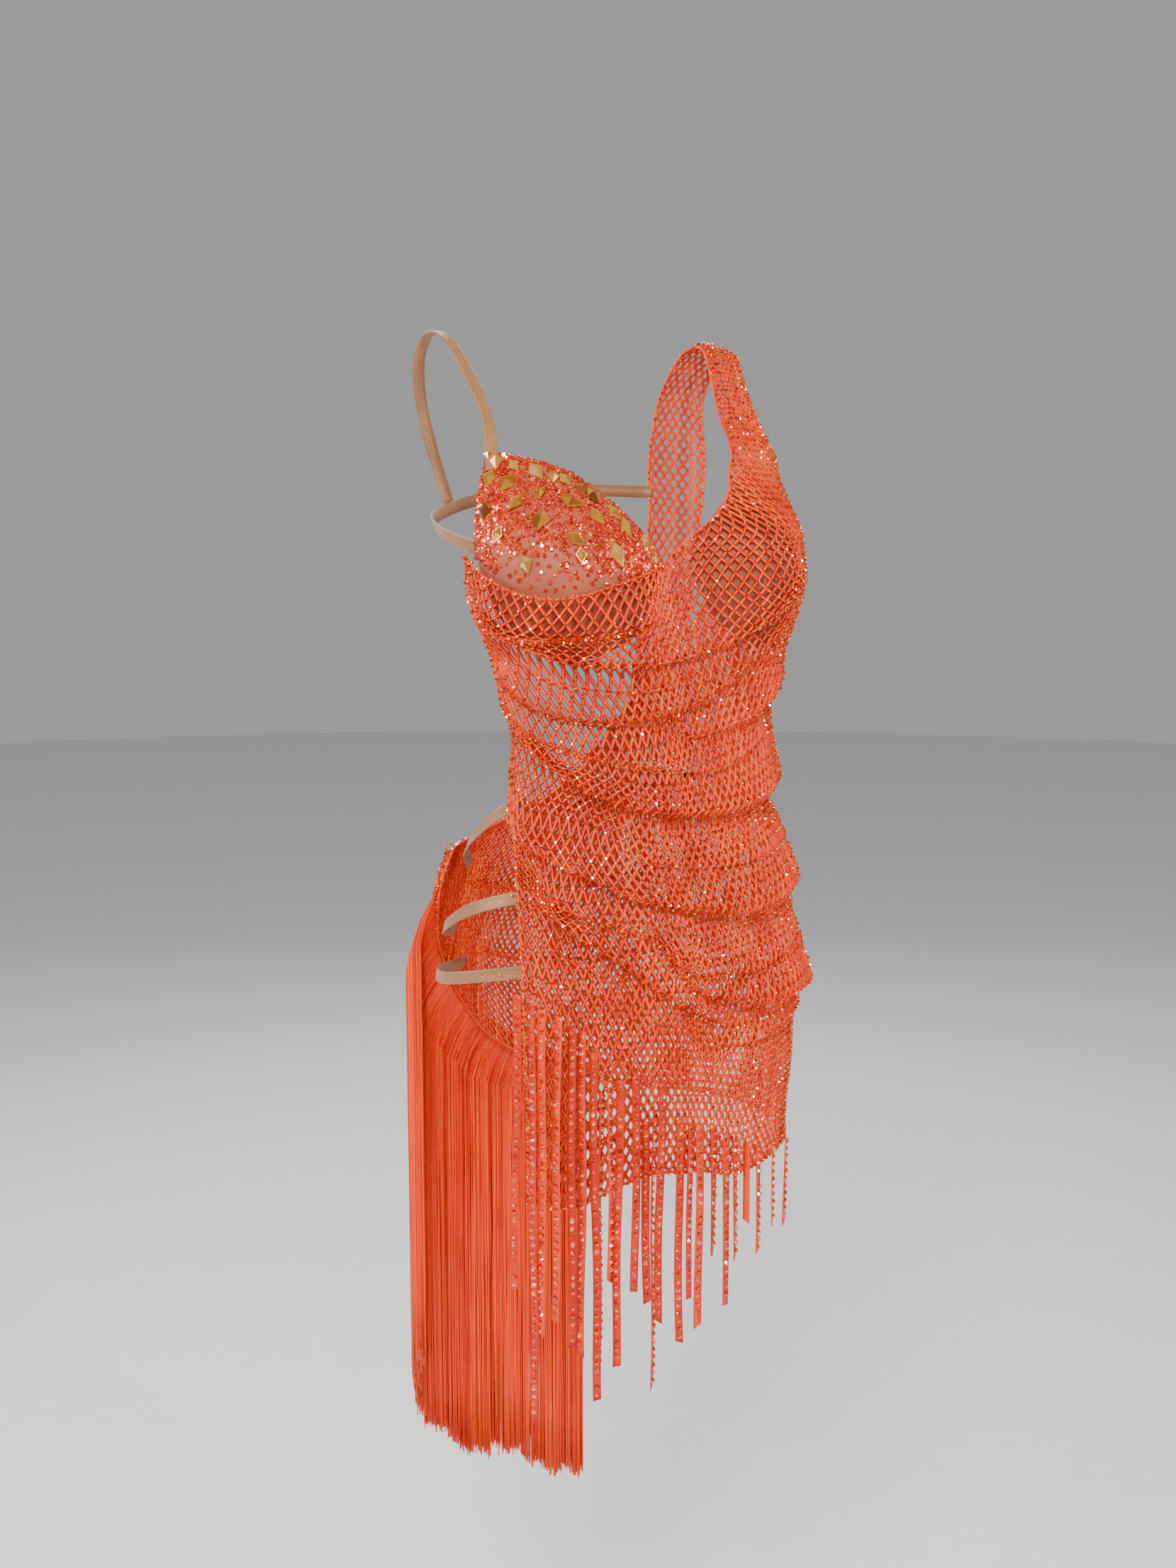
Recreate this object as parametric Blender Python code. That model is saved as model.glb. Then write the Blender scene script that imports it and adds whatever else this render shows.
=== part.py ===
"""Salsa dance dress, worn form: a draped net front on one shoulder strap, a bra cup, a low net
back, elastic hip straps and two fringes. Metres, +Z up, the wearer faces -Y, and the origin lies
midway between the two shoulders that carry the dress. Each piece of cloth is one closed wall."""

import math
from collections import namedtuple

import bmesh
import bpy
from mathutils import Vector

# Driving dimensions, in metres
NET_WALL = 0.0020
CUP_WALL = 0.0015
ELASTIC_WALL = 0.0012
ELASTIC_WIDTH = 0.0095
FRONT_FRINGE_WALL = 0.0020
BACK_FRINGE_WALL = 0.0050
BACK_FRINGE_LENGTH = 0.385
CUP_LIFT = 0.0002
NET_LIFT = 0.0038
YOKE_LIFT = 0.0052
SEAM_ANGLE = 95.0
OVAL_POWER = 2.25
BUST_HEIGHT = 0.042
BUST_ANGLE = 42.0
BUST_LEVEL = -0.170
BUST_SPREAD = 27.0
BUST_ABOVE = 0.066
BUST_BELOW = 0.078

# The general figure: level, sideways and front-to-back middle, half width, depth in front and
# behind. The hips sit a little to the wearer's right, as on a figure standing at ease.
Station = namedtuple("Station", "level shift middle half_width front back")
FIGURE = [
    Station(-0.950, -0.012, -0.076, 0.132, 0.098, 0.090),
    Station(-0.750, -0.012, -0.076, 0.135, 0.100, 0.096),
    Station(-0.620, -0.012, -0.079, 0.138, 0.103, 0.102),
    Station(-0.500, -0.012, -0.084, 0.143, 0.104, 0.108),
    Station(-0.420, -0.010, -0.084, 0.132, 0.097, 0.088),
    Station(-0.335, -0.006, -0.082, 0.108, 0.086, 0.072),
    Station(-0.245, -0.005, -0.064, 0.121, 0.094, 0.078),
    Station(-0.175, -0.005, -0.050, 0.126, 0.096, 0.082),
    Station(-0.120, -0.003, -0.036, 0.139, 0.092, 0.076),
    Station(-0.080, 0.000, -0.024, 0.148, 0.084, 0.066),
    Station(-0.040, 0.000, -0.012, 0.150, 0.068, 0.055),
    Station(0.000, 0.000, -0.002, 0.150, 0.040, 0.040),
]

# Levels of the draped rows of the front: at the free edge on the wearer's right, at five angles
# round the body and at the seam under the left arm. edge_angle is where the free edge lies.
DRAPE_ANGLES = (-45.0, -20.0, 5.0, 30.0, 55.0)
DrapeRow = namedtuple("DrapeRow", "t edge_angle edge right_45 right_20 left_5 left_30 left_55 seam")
DRAPE = [
    DrapeRow(0.00, -74.0, -0.164, -0.190, -0.181, -0.165, -0.162, -0.163, -0.176),
    DrapeRow(0.12, -78.0, -0.195, -0.224, -0.230, -0.224, -0.210, -0.202, -0.212),
    DrapeRow(0.26, -70.5, -0.240, -0.270, -0.275, -0.268, -0.255, -0.246, -0.254),
    DrapeRow(0.38, -71.5, -0.295, -0.314, -0.335, -0.340, -0.338, -0.328, -0.322),
    DrapeRow(0.46, -76.5, -0.330, -0.348, -0.370, -0.378, -0.377, -0.368, -0.358),
    DrapeRow(0.54, -70.5, -0.372, -0.388, -0.405, -0.415, -0.418, -0.410, -0.396),
    DrapeRow(0.68, -62.0, -0.435, -0.448, -0.468, -0.484, -0.492, -0.488, -0.476),
    DrapeRow(0.84, -58.0, -0.535, -0.546, -0.549, -0.556, -0.566, -0.562, -0.555),
    DrapeRow(1.00, -57.5, -0.641, -0.643, -0.625, -0.626, -0.638, -0.632, -0.630),
]

# The swagged folds: level of the tuck under each roll at six angles, the roll's depth, how far up
# it reaches, and the angles between which it runs.
FOLD_ANGLES = (-70.0, -45.0, -20.0, 5.0, 30.0, 60.0)
FOLD_HEAD = 16.0
FOLD_TAIL = 34.0
Fold = namedtuple("Fold", "a b c d e f depth reach first last")
FOLDS = [
    Fold(-0.196, -0.207, -0.206, -0.192, -0.180, -0.170, 0.006, 0.026, -72.0, 0.0),
    Fold(-0.195, -0.226, -0.232, -0.225, -0.205, -0.180, 0.013, 0.042, -78.0, 52.0),
    Fold(-0.246, -0.273, -0.274, -0.263, -0.236, -0.205, 0.010, 0.036, -72.0, 48.0),
    Fold(-0.290, -0.292, -0.294, -0.293, -0.283, -0.255, 0.007, 0.026, -10.0, 78.0),
    Fold(-0.276, -0.317, -0.336, -0.341, -0.339, -0.326, 0.014, 0.048, -76.0, 92.0),
    Fold(-0.355, -0.379, -0.402, -0.414, -0.418, -0.407, 0.013, 0.050, -80.0, 92.0),
    Fold(-0.395, -0.424, -0.462, -0.496, -0.522, -0.530, 0.010, 0.040, -62.0, 34.0),
    Fold(-0.430, -0.433, -0.438, -0.470, -0.489, -0.486, 0.014, 0.046, -18.0, 90.0),
    Fold(-0.430, -0.452, -0.486, -0.500, -0.520, -0.530, 0.004, 0.024, -58.0, -18.0),
]

# The shoulder part of the front, from the bust row up. Lower sections lie on the figure; upper
# ones run straight across the strap between an inner and an outer point.
FigureSection = namedtuple("FigureSection", "u inner_angle inner_level outer_angle outer_level")
YOKE_LOWER = [
    FigureSection(0.12, 6.0, -0.156, 94.0, -0.163),
    FigureSection(0.24, 16.0, -0.140, 91.0, -0.148),
    FigureSection(0.36, 24.5, -0.122, 85.0, -0.130),
    FigureSection(0.50, 30.5, -0.103, 76.0, -0.110),
    FigureSection(0.62, 37.0, -0.086, 69.0, -0.092),
]
StrapSection = namedtuple("StrapSection", "u inner_x inner_y inner_z outer_x outer_y outer_z")
YOKE_UPPER = [
    StrapSection(0.76, 0.087, -0.074, -0.058, 0.128, -0.068, -0.064),
    StrapSection(0.88, 0.099, -0.043, -0.027, 0.134, -0.038, -0.032),
    StrapSection(0.95, 0.107, -0.020, -0.006, 0.141, -0.017, -0.010),
    StrapSection(1.00, 0.111, -0.0004, 0.000, 0.145, -0.0004, -0.004),
]
YOKE_BOW = 0.004

BACK_STRAP_UPPER = [
    StrapSection(0.00, 0.111, 0.0004, 0.000, 0.145, 0.0004, -0.004),
    StrapSection(0.08, 0.109, 0.020, -0.008, 0.144, 0.017, -0.012),
    StrapSection(0.22, 0.101, 0.038, -0.040, 0.138, 0.030, -0.044),
]
BACK_STRAP_LOWER = [
    FigureSection(0.42, 125.0, -0.090, 108.0, -0.096),
    FigureSection(0.62, 128.0, -0.140, 110.0, -0.144),
    FigureSection(0.82, 134.0, -0.212, 113.0, -0.190),
    FigureSection(1.00, 142.0, -0.2856, 118.0, -0.2345),
]

# The low net back, from the left seam round to its corner on the right hip.
BackColumn = namedtuple("BackColumn", "angle top bottom stand_off")
BACK = [
    BackColumn(95.25, -0.1765, -0.630, 0.000),
    BackColumn(120.0, -0.2400, -0.630, 0.000),
    BackColumn(150.0, -0.3040, -0.622, 0.000),
    BackColumn(180.0, -0.3450, -0.600, 0.001),
    BackColumn(210.0, -0.3740, -0.560, 0.003),
    BackColumn(230.0, -0.3870, -0.492, 0.006),
    BackColumn(246.0, -0.3930, -0.432, 0.008),
]
BACK_FOLDS = [
    Fold(-0.330, -0.352, -0.362, -0.372, -0.380, -0.380, 0.006, 0.040, 100.0, 215.0),
    Fold(-0.405, -0.425, -0.438, -0.440, -0.432, -0.425, 0.008, 0.046, 98.0, 240.0),
    Fold(-0.480, -0.498, -0.508, -0.505, -0.490, -0.470, 0.007, 0.044, 98.0, 228.0),
]
BACK_FOLD_ANGLES = (100.0, 125.0, 150.0, 180.0, 210.0, 240.0)

# The wearer's right bra cup: its upper edge from the strap to the centre, and its lower edge.
CupColumn = namedtuple("CupColumn", "s top_angle top_level low_angle low_level")
CUP = [
    CupColumn(0.00, -63.5, -0.090, -69.0, -0.165),
    CupColumn(0.14, -57.0, -0.0925, -67.0, -0.195),
    CupColumn(0.32, -47.0, -0.097, -58.0, -0.226),
    CupColumn(0.52, -36.0, -0.107, -42.0, -0.238),
    CupColumn(0.72, -24.0, -0.127, -27.0, -0.230),
    CupColumn(0.88, -14.5, -0.146, -15.0, -0.208),
    CupColumn(1.00, -8.0, -0.164, -8.0, -0.178),
]

# Elastic straps that lie on the figure: angle round the body, level and stand-off.
Lay = namedtuple("Lay", "angle level lift")
HIP_STRAPS = {
    "hip_strap_upper": [
        Lay(-69.0, -0.341, 0.001), Lay(-80.0, -0.352, 0.001), Lay(-92.0, -0.367, 0.001),
        Lay(-106.0, -0.389, 0.001), Lay(-122.0, -0.409, 0.001),
    ],
    "hip_strap_middle": [
        Lay(-58.0, -0.409, 0.001), Lay(-72.0, -0.416, 0.001), Lay(-88.0, -0.430, 0.001),
        Lay(-107.0, -0.451, 0.001), Lay(-125.0, -0.463, 0.001),
    ],
    "hip_strap_lower": [
        Lay(-55.0, -0.462, 0.001), Lay(-74.0, -0.471, 0.001), Lay(-95.0, -0.483, 0.001),
        Lay(-115.0, -0.490, 0.001), Lay(-136.0, -0.495, 0.001),
    ],
}
UNDERARM_STRAP = [
    Lay(-64.0, -0.161, 0.0036), Lay(-72.0, -0.158, 0.0034), Lay(-81.0, -0.154, 0.001),
    Lay(-92.0, -0.148, 0.001),
    Lay(-108.0, -0.139, 0.001), Lay(-128.0, -0.128, 0.001), Lay(-152.0, -0.120, 0.001),
    Lay(-180.0, -0.117, 0.001), Lay(-208.0, -0.117, 0.001), Lay(-230.0, -0.118, 0.001),
]
SHOULDER_START = [Lay(-61.0, -0.103, 0.0032), Lay(-62.0, -0.090, 0.0032)]
SHOULDER_STRAP = [
    Vector((-0.1165, -0.077, -0.068)), Vector((-0.1185, -0.060, -0.043)),
    Vector((-0.1215, -0.036, -0.017)), Vector((-0.1230, -0.018, -0.004)),
    Vector((-0.1240, 0.000, 0.001)), Vector((-0.1240, 0.018, -0.005)),
    Vector((-0.1220, 0.033, -0.022)), Vector((-0.1170, 0.040, -0.050)),
    Vector((-0.1080, 0.0405, -0.085)), Vector((-0.0960, 0.0350, -0.128)),
]
SHOULDER_CENTRE = Vector((-0.115, -0.015, -0.090))

# Fringes: angle round the body, where the fringe starts and where it ends.
FringeColumn = namedtuple("FringeColumn", "angle top bottom")
FRONT_FRINGE = [
    FringeColumn(-56.0, -0.476, -0.806),
    FringeColumn(-47.0, -0.494, -0.778),
    FringeColumn(-37.0, -0.530, -0.792),
    FringeColumn(-25.0, -0.542, -0.778),
    FringeColumn(-13.0, -0.556, -0.790),
    FringeColumn(2.0, -0.589, -0.757),
    FringeColumn(20.0, -0.604, -0.740),
    FringeColumn(40.0, -0.618, -0.707),
    FringeColumn(60.0, -0.618, -0.695),
]
BackFringeColumn = namedtuple("BackFringeColumn", "angle top stand_off")
BACK_FRINGE = [
    BackFringeColumn(162.0, -0.6020, 0.022),
    BackFringeColumn(182.0, -0.5860, 0.027),
    BackFringeColumn(205.0, -0.5540, 0.034),
    BackFringeColumn(224.0, -0.5000, 0.036),
    BackFringeColumn(236.0, -0.4520, 0.026),
    BackFringeColumn(246.0, -0.4160, 0.013),
]
SEAT_LEVEL = -0.500
FRINGE_GAP = 0.0014
RIBBON_GAP = 0.0035
HIP_AXIS = Vector((-0.012, -0.082, 0.0))
FRINGE_DROP = 0.050

# Cells along and down each piece of cloth
DRAPE_CELLS = (22, 44)
NECK_COLUMN = 9
YOKE_CELLS = 14
BACK_CELLS = (16, 16)
BACK_STRAP_CELLS = (3, 14)
CUP_CELLS = (12, 7)
FRONT_FRINGE_CELLS = (20, 6)
BACK_FRINGE_CELLS = (14, 9)
RIBBON_STEPS = 4


def smoothstep(low, high, value):
    """0 below low, 1 above high, and a smooth rise between."""
    share = min(max((value - low) / (high - low), 0.0), 1.0)
    return share * share * (3.0 - 2.0 * share)


def spline(knots, values, at):
    """Smooth curve through the values (numbers or Vectors) at rising knots."""
    at = min(max(at, knots[0]), knots[-1])
    i = 0
    while i < len(knots) - 2 and at > knots[i + 1]:
        i += 1

    def slope(k):
        before, after = max(k - 1, 0), min(k + 1, len(knots) - 1)
        return (values[after] - values[before]) / (knots[after] - knots[before])

    width = knots[i + 1] - knots[i]
    x = (at - knots[i]) / width
    start = values[i] * (2 * x**3 - 3 * x**2 + 1) + slope(i) * (width * (x**3 - 2 * x**2 + x))
    return start + values[i + 1] * (3 * x**2 - 2 * x**3) + slope(i + 1) * (width * (x**3 - x**2))


def column(rows, field, at, key):
    """A table's field, read smoothly at a value of its key column."""
    return spline([getattr(r, key) for r in rows], [getattr(r, field) for r in rows], at)


def figure(angle, level, lift):
    """Point over the general figure: angle 0 is the front and 90 the wearer's left side."""
    middle = column(FIGURE, "middle", level, "level")
    half_width = column(FIGURE, "half_width", level, "level") + lift
    turn = math.radians(angle)
    side, ahead = math.sin(turn), math.cos(turn)
    depth = column(FIGURE, "front" if ahead > 0 else "back", level, "level") + lift
    oval = (abs(side) / half_width) ** OVAL_POWER + (abs(ahead) / depth) ** OVAL_POWER
    radius = oval ** (-1.0 / OVAL_POWER) + bust(angle, level)
    shift = column(FIGURE, "shift", level, "level")
    return Vector((shift + radius * side, middle - radius * ahead, level))


def bust(angle, level):
    """Rise over the two cups."""
    spread = BUST_ABOVE if level > BUST_LEVEL else BUST_BELOW
    upright = math.exp(-(((level - BUST_LEVEL) / spread) ** 2))
    round_body = sum(
        math.exp(-(((angle - side * BUST_ANGLE) / BUST_SPREAD) ** 2)) for side in (-1, 1)
    )
    return BUST_HEIGHT * upright * round_body


def folds_at(folds, angles, angle, level):
    """Stand-off of the swagged rolls. Each grows toward its tuck, then turns in sharply."""
    total = 0.0
    for fold in folds:
        run = smoothstep(fold.first, fold.first + FOLD_HEAD, angle)
        run *= 1.0 - smoothstep(fold.last - FOLD_TAIL, fold.last, angle)
        if run <= 0.0:
            continue
        above = level - spline(angles, fold[:6], angle)
        roll = smoothstep(-0.20 * fold.reach, 0.14 * fold.reach, above)
        roll *= 1.0 - smoothstep(0.14 * fold.reach, fold.reach, above)
        total += fold.depth * run * roll
    return total


def drape_point(s, t):
    """Front panel below the bust row: s runs from the free edge to the seam, t down to the hem."""
    edge_angle = column(DRAPE, "edge_angle", t, "t")
    angle = edge_angle + s * (SEAM_ANGLE - edge_angle)
    knots = (edge_angle,) + DRAPE_ANGLES + (SEAM_ANGLE,)
    levels = [column(DRAPE, field, t, "t") for field in DrapeRow._fields[2:]]
    level = spline(knots, levels, angle)
    return figure(angle, level, NET_LIFT + folds_at(FOLDS, FOLD_ANGLES, angle, level))


def figure_row(section, s, lift):
    """Point across a section whose ends lie on the figure."""
    angle = section.inner_angle + s * (section.outer_angle - section.inner_angle)
    level = section.inner_level + s * (section.outer_level - section.inner_level)
    return figure(angle, level, lift)


def strap_row(section, s, outward):
    """Point across a section of a shoulder strap, bowed outward in its middle."""
    inner = Vector((section.inner_x, section.inner_y, section.inner_z))
    outer = Vector((section.outer_x, section.outer_y, section.outer_z))
    return inner.lerp(outer, s) + outward * (YOKE_BOW * 4.0 * s * (1.0 - s))


def yoke_point(s, u, base):
    """Front panel above the bust row: base is the bust row's point in this column."""
    knots = [0.0] + [row.u for row in YOKE_LOWER + YOKE_UPPER]
    points = [base] + [figure_row(row, s, YOKE_LIFT) for row in YOKE_LOWER]
    points += [strap_row(row, s, Vector((0.1, -0.7 * (1 - row.u), 0.7))) for row in YOKE_UPPER]
    return spline(knots, points, u)


def back_strap_point(s, v):
    """Back strap from the shoulder seam down to the back panel; s runs inner to outer."""
    rows = BACK_STRAP_UPPER + BACK_STRAP_LOWER
    points = [strap_row(row, s, Vector((0.1, 0.7 * row.u, 0.7))) for row in BACK_STRAP_UPPER]
    points += [figure_row(row, s, YOKE_LIFT) for row in BACK_STRAP_LOWER]
    return spline([row.u for row in rows], points, v)


def back_lift(angle, level):
    """Stand-off of the back panel's inner face."""
    folds = folds_at(BACK_FOLDS, BACK_FOLD_ANGLES, angle, level)
    return NET_LIFT + column(BACK, "stand_off", angle, "angle") + folds


def back_point(angle, t):
    """Back panel between its scooped top and its lower edge."""
    top = column(BACK, "top", angle, "angle")
    bottom = column(BACK, "bottom", angle, "angle")
    level = top + t * (bottom - top)
    return figure(angle, level, back_lift(angle, level))


def cup_point(s, t, side):
    """Bra cup: s runs along its upper edge to the centre, t down, side is -1 for the right."""
    top = column(CUP, "top_angle", s, "s"), column(CUP, "top_level", s, "s")
    low = column(CUP, "low_angle", s, "s"), column(CUP, "low_level", s, "s")
    angle = top[0] + t * (low[0] - top[0])
    return figure(-side * angle, top[1] + t * (low[1] - top[1]), CUP_LIFT)


def front_fringe_point(angle, t):
    """Front fringe, which hangs plumb, clear of the front panel behind it."""
    top = column(FRONT_FRINGE, "top", angle, "angle")
    bottom = column(FRONT_FRINGE, "bottom", angle, "angle")
    reach = 0.0
    for step in range(9):
        level = top + step / 8 * (-0.640 - top)
        lift = NET_LIFT + NET_WALL + folds_at(FOLDS, FOLD_ANGLES, angle, level)
        place = figure(angle, level, lift)
        reach = max(reach, math.hypot(place.x - HIP_AXIS.x, place.y - HIP_AXIS.y))
    turn = math.radians(angle)
    out = Vector((math.sin(turn), -math.cos(turn), 0.0)) * (reach + RIBBON_GAP)
    return Vector((HIP_AXIS.x + out.x, HIP_AXIS.y + out.y, top + t * (bottom - top)))


def back_fringe_point(angle, t):
    """Back fringe, sewn on the back panel's lower edge and falling clear of the seat."""
    top = column(BACK_FRINGE, "top", angle, "angle")
    level = top - t * BACK_FRINGE_LENGTH
    sewn = figure(angle, top, back_lift(angle, top) + NET_WALL + FRINGE_GAP)
    hung = figure(angle, SEAT_LEVEL, column(BACK_FRINGE, "stand_off", angle, "angle"))
    swing = smoothstep(0.0, FRINGE_DROP, top - level)
    point = sewn.lerp(hung, swing)
    return Vector((point.x, point.y, level))


def grid(columns, rows, point):
    """Points of a cloth grid, as a list of rows."""
    return [[point(i / columns, j / rows) for i in range(columns + 1)] for j in range(rows + 1)]


def material(name, color, roughness, metallic=0.0):
    """Principled material of one kind of trim or cloth."""
    made = bpy.data.materials.new(name)
    made.use_nodes = True
    shader = made.node_tree.nodes["Principled BSDF"]
    shader.inputs["Base Color"].default_value = (*color, 1.0)
    shader.inputs["Roughness"].default_value = roughness
    shader.inputs["Metallic"].default_value = metallic
    made.diffuse_color = (*color, 1.0)
    return made


def add_object(name, mesh_data, finish):
    """Writes the bmesh to a new object of the scene."""
    mesh = bpy.data.meshes.new(name)
    mesh_data.to_mesh(mesh)
    mesh_data.free()
    mesh.materials.append(finish)
    made = bpy.data.objects.new(name, mesh)
    bpy.context.scene.collection.objects.link(made)
    return made


def cloth(name, points, wall, finish):
    """A wall of cloth that grows outward from a grid. Cells with a missing corner stay open."""
    made = bmesh.new()
    verts = [[made.verts.new(p) if p else None for p in row] for row in points]
    for j in range(len(points) - 1):
        for i in range(len(points[0]) - 1):
            corners = (verts[j][i], verts[j + 1][i], verts[j + 1][i + 1], verts[j][i + 1])
            if all(corners):
                made.faces.new(corners)
    made.normal_update()
    outward = sum(
        f.normal.dot(f.calc_center_median() - Vector((0, -0.05, f.calc_center_median().z)))
        for f in made.faces
    )
    if outward < 0:
        bmesh.ops.reverse_faces(made, faces=made.faces)
    body = add_object(name, made, finish)
    thicken = body.modifiers.new("Wall", "SOLIDIFY")
    thicken.thickness = wall
    thicken.offset = 1.0
    return body


def ribbon(name, points, outs, finish):
    """An elastic strap of even width along a smooth path, standing outward of its points."""
    count = RIBBON_STEPS * (len(points) - 1)
    knots = list(range(len(points)))
    path = [spline(knots, points, k / RIBBON_STEPS) for k in range(count + 1)]
    made = bmesh.new()
    rings = []
    for k, place in enumerate(path):
        along = (path[min(k + 1, count)] - path[max(k - 1, 0)]).normalized()
        out = spline(knots, outs, k / RIBBON_STEPS)
        out = (out - along * out.dot(along)).normalized()
        across = along.cross(out) * (ELASTIC_WIDTH / 2)
        top = out * ELASTIC_WALL
        corners = (place - across, place + across, place + across + top, place - across + top)
        rings.append([made.verts.new(corner) for corner in corners])
    for first, second in zip(rings, rings[1:]):
        for k in range(4):
            near, far = k, (k + 1) % 4
            made.faces.new((first[near], first[far], second[far], second[near]))
    made.faces.new(rings[0][::-1])
    made.faces.new(rings[-1])
    bmesh.ops.recalc_face_normals(made, faces=made.faces)
    return add_object(name, made, finish)


def figure_normal(angle, level, lift):
    """Outward direction of the figure's surface."""
    round_body = figure(angle + 2.0, level, lift) - figure(angle - 2.0, level, lift)
    upward = figure(angle, level + 0.004, lift) - figure(angle, level - 0.004, lift)
    return round_body.cross(upward).normalized()


def from_shoulder(place):
    """Direction away from the middle of the wearer's right shoulder."""
    return Vector((0.0, place.y - SHOULDER_CENTRE.y, place.z - SHOULDER_CENTRE.z)).normalized()


def build_front(finish):
    """The net front: one panel from the shoulder seam to the hem."""
    columns, rows = DRAPE_CELLS
    body = grid(columns, rows, drape_point)
    yoke = []
    for j in range(YOKE_CELLS, 0, -1):
        row = [None] * NECK_COLUMN
        for i in range(NECK_COLUMN, columns + 1):
            share = (i - NECK_COLUMN) / (columns - NECK_COLUMN)
            row.append(yoke_point(share, j / YOKE_CELLS, body[0][i]))
        yoke.append(row)
    cloth("front_drape", yoke + body, NET_WALL, finish)


def build_back(finish):
    """The net back with its shoulder strap."""
    first, last = BACK[0].angle, BACK[-1].angle
    points = grid(*BACK_CELLS, lambda s, t: back_point(first + s * (last - first), t))
    cloth("back_panel", points, NET_WALL, finish)
    cloth("back_strap", grid(*BACK_STRAP_CELLS, back_strap_point), NET_WALL, finish)


def build_cups(finish):
    """The two bra cups."""
    for name, side in (("cup_right", -1), ("cup_left", 1)):
        points = grid(*CUP_CELLS, lambda s, t, side=side: cup_point(s, t, side))
        cloth(name, points, CUP_WALL, finish)


def build_elastics(finish):
    """Shoulder, underarm and hip straps."""
    points = [figure(*lay) for lay in SHOULDER_START] + SHOULDER_STRAP
    outs = [figure_normal(*lay) for lay in SHOULDER_START]
    outs += [from_shoulder(place) for place in SHOULDER_STRAP]
    ribbon("shoulder_strap_right", points, outs, finish)
    for name, route in {"underarm_strap": UNDERARM_STRAP, **HIP_STRAPS}.items():
        outs = [figure_normal(*lay) for lay in route]
        ribbon(name, [figure(*lay) for lay in route], outs, finish)


def build_fringes(ribbon_finish, strand_finish):
    """The stone ribbon fringe in front and the strand fringe behind, as plain curtains."""
    first, last = FRONT_FRINGE[0].angle, FRONT_FRINGE[-1].angle
    points = grid(
        *FRONT_FRINGE_CELLS, lambda s, t: front_fringe_point(first + s * (last - first), t)
    )
    cloth("front_fringe", points, FRONT_FRINGE_WALL, ribbon_finish)
    start, end = BACK_FRINGE[0].angle, BACK_FRINGE[-1].angle
    points = grid(*BACK_FRINGE_CELLS, lambda s, t: back_fringe_point(start + s * (end - start), t))
    cloth("back_fringe", points, BACK_FRINGE_WALL, strand_finish)


def main():
    """Clears the scene and builds every piece of the dress."""
    for old in list(bpy.data.objects):
        bpy.data.objects.remove(old)
    net = material("coral_stoned_net", (0.80, 0.085, 0.025), 0.45)
    nude = material("nude_tulle_with_stones", (0.46, 0.13, 0.07), 0.40)
    elastic = material("tan_elastic", (0.36, 0.16, 0.07), 0.65)
    stones = material("stone_ribbon", (0.72, 0.05, 0.02), 0.25)
    strands = material("chainette_fringe", (0.85, 0.06, 0.025), 0.40)
    build_front(net)
    build_back(net)
    build_cups(nude)
    build_elastics(elastic)
    build_fringes(stones, strands)


main()
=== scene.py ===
"""Salsa dance dress: stoned hexagonal net, jewelled cups, elastics and two fringes, in worn form.

Lengths are metres unless a name says mm. Angles go round the body in degrees: 0 is the middle of
the front and 90 the wearer's left side. Levels are heights below the shoulder tops.
"""

import logging
import math
from dataclasses import dataclass, field
from enum import Enum
from typing import Callable, NamedTuple, Sequence

import bmesh
import bpy
import numpy as np
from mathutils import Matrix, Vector


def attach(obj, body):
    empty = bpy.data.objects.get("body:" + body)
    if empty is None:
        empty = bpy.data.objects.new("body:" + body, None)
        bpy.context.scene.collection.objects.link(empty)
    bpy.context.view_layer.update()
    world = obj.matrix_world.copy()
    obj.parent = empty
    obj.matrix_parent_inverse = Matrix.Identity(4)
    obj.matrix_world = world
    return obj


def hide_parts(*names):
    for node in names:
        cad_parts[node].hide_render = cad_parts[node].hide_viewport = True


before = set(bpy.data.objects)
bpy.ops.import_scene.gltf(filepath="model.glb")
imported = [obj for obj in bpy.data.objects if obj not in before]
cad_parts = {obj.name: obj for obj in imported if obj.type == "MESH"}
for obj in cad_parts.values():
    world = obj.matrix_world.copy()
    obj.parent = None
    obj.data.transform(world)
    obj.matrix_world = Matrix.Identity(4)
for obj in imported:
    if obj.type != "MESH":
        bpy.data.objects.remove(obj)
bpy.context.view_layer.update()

BODY = "root"
LOG = logging.getLogger("dance_dress")
Array = np.ndarray
Surface = Callable[[Array, Array], Array]

NET_LIFT = 0.0048
SEAM_ANGLE = 95.0
SEED = 20
FULL_TURN = 6.283
WAVE_PHASE = 6.28
NET_STONE_SIZE = 0.0029
EDGE_STONE_PITCH = 0.0048
EDGE_STONES_MISSING = 0.1
HIP_AXIS = (-0.012, -0.082, 0.0)
SAMPLES = 241


# ---------------------------------------------------------------- curves and the figure


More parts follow.
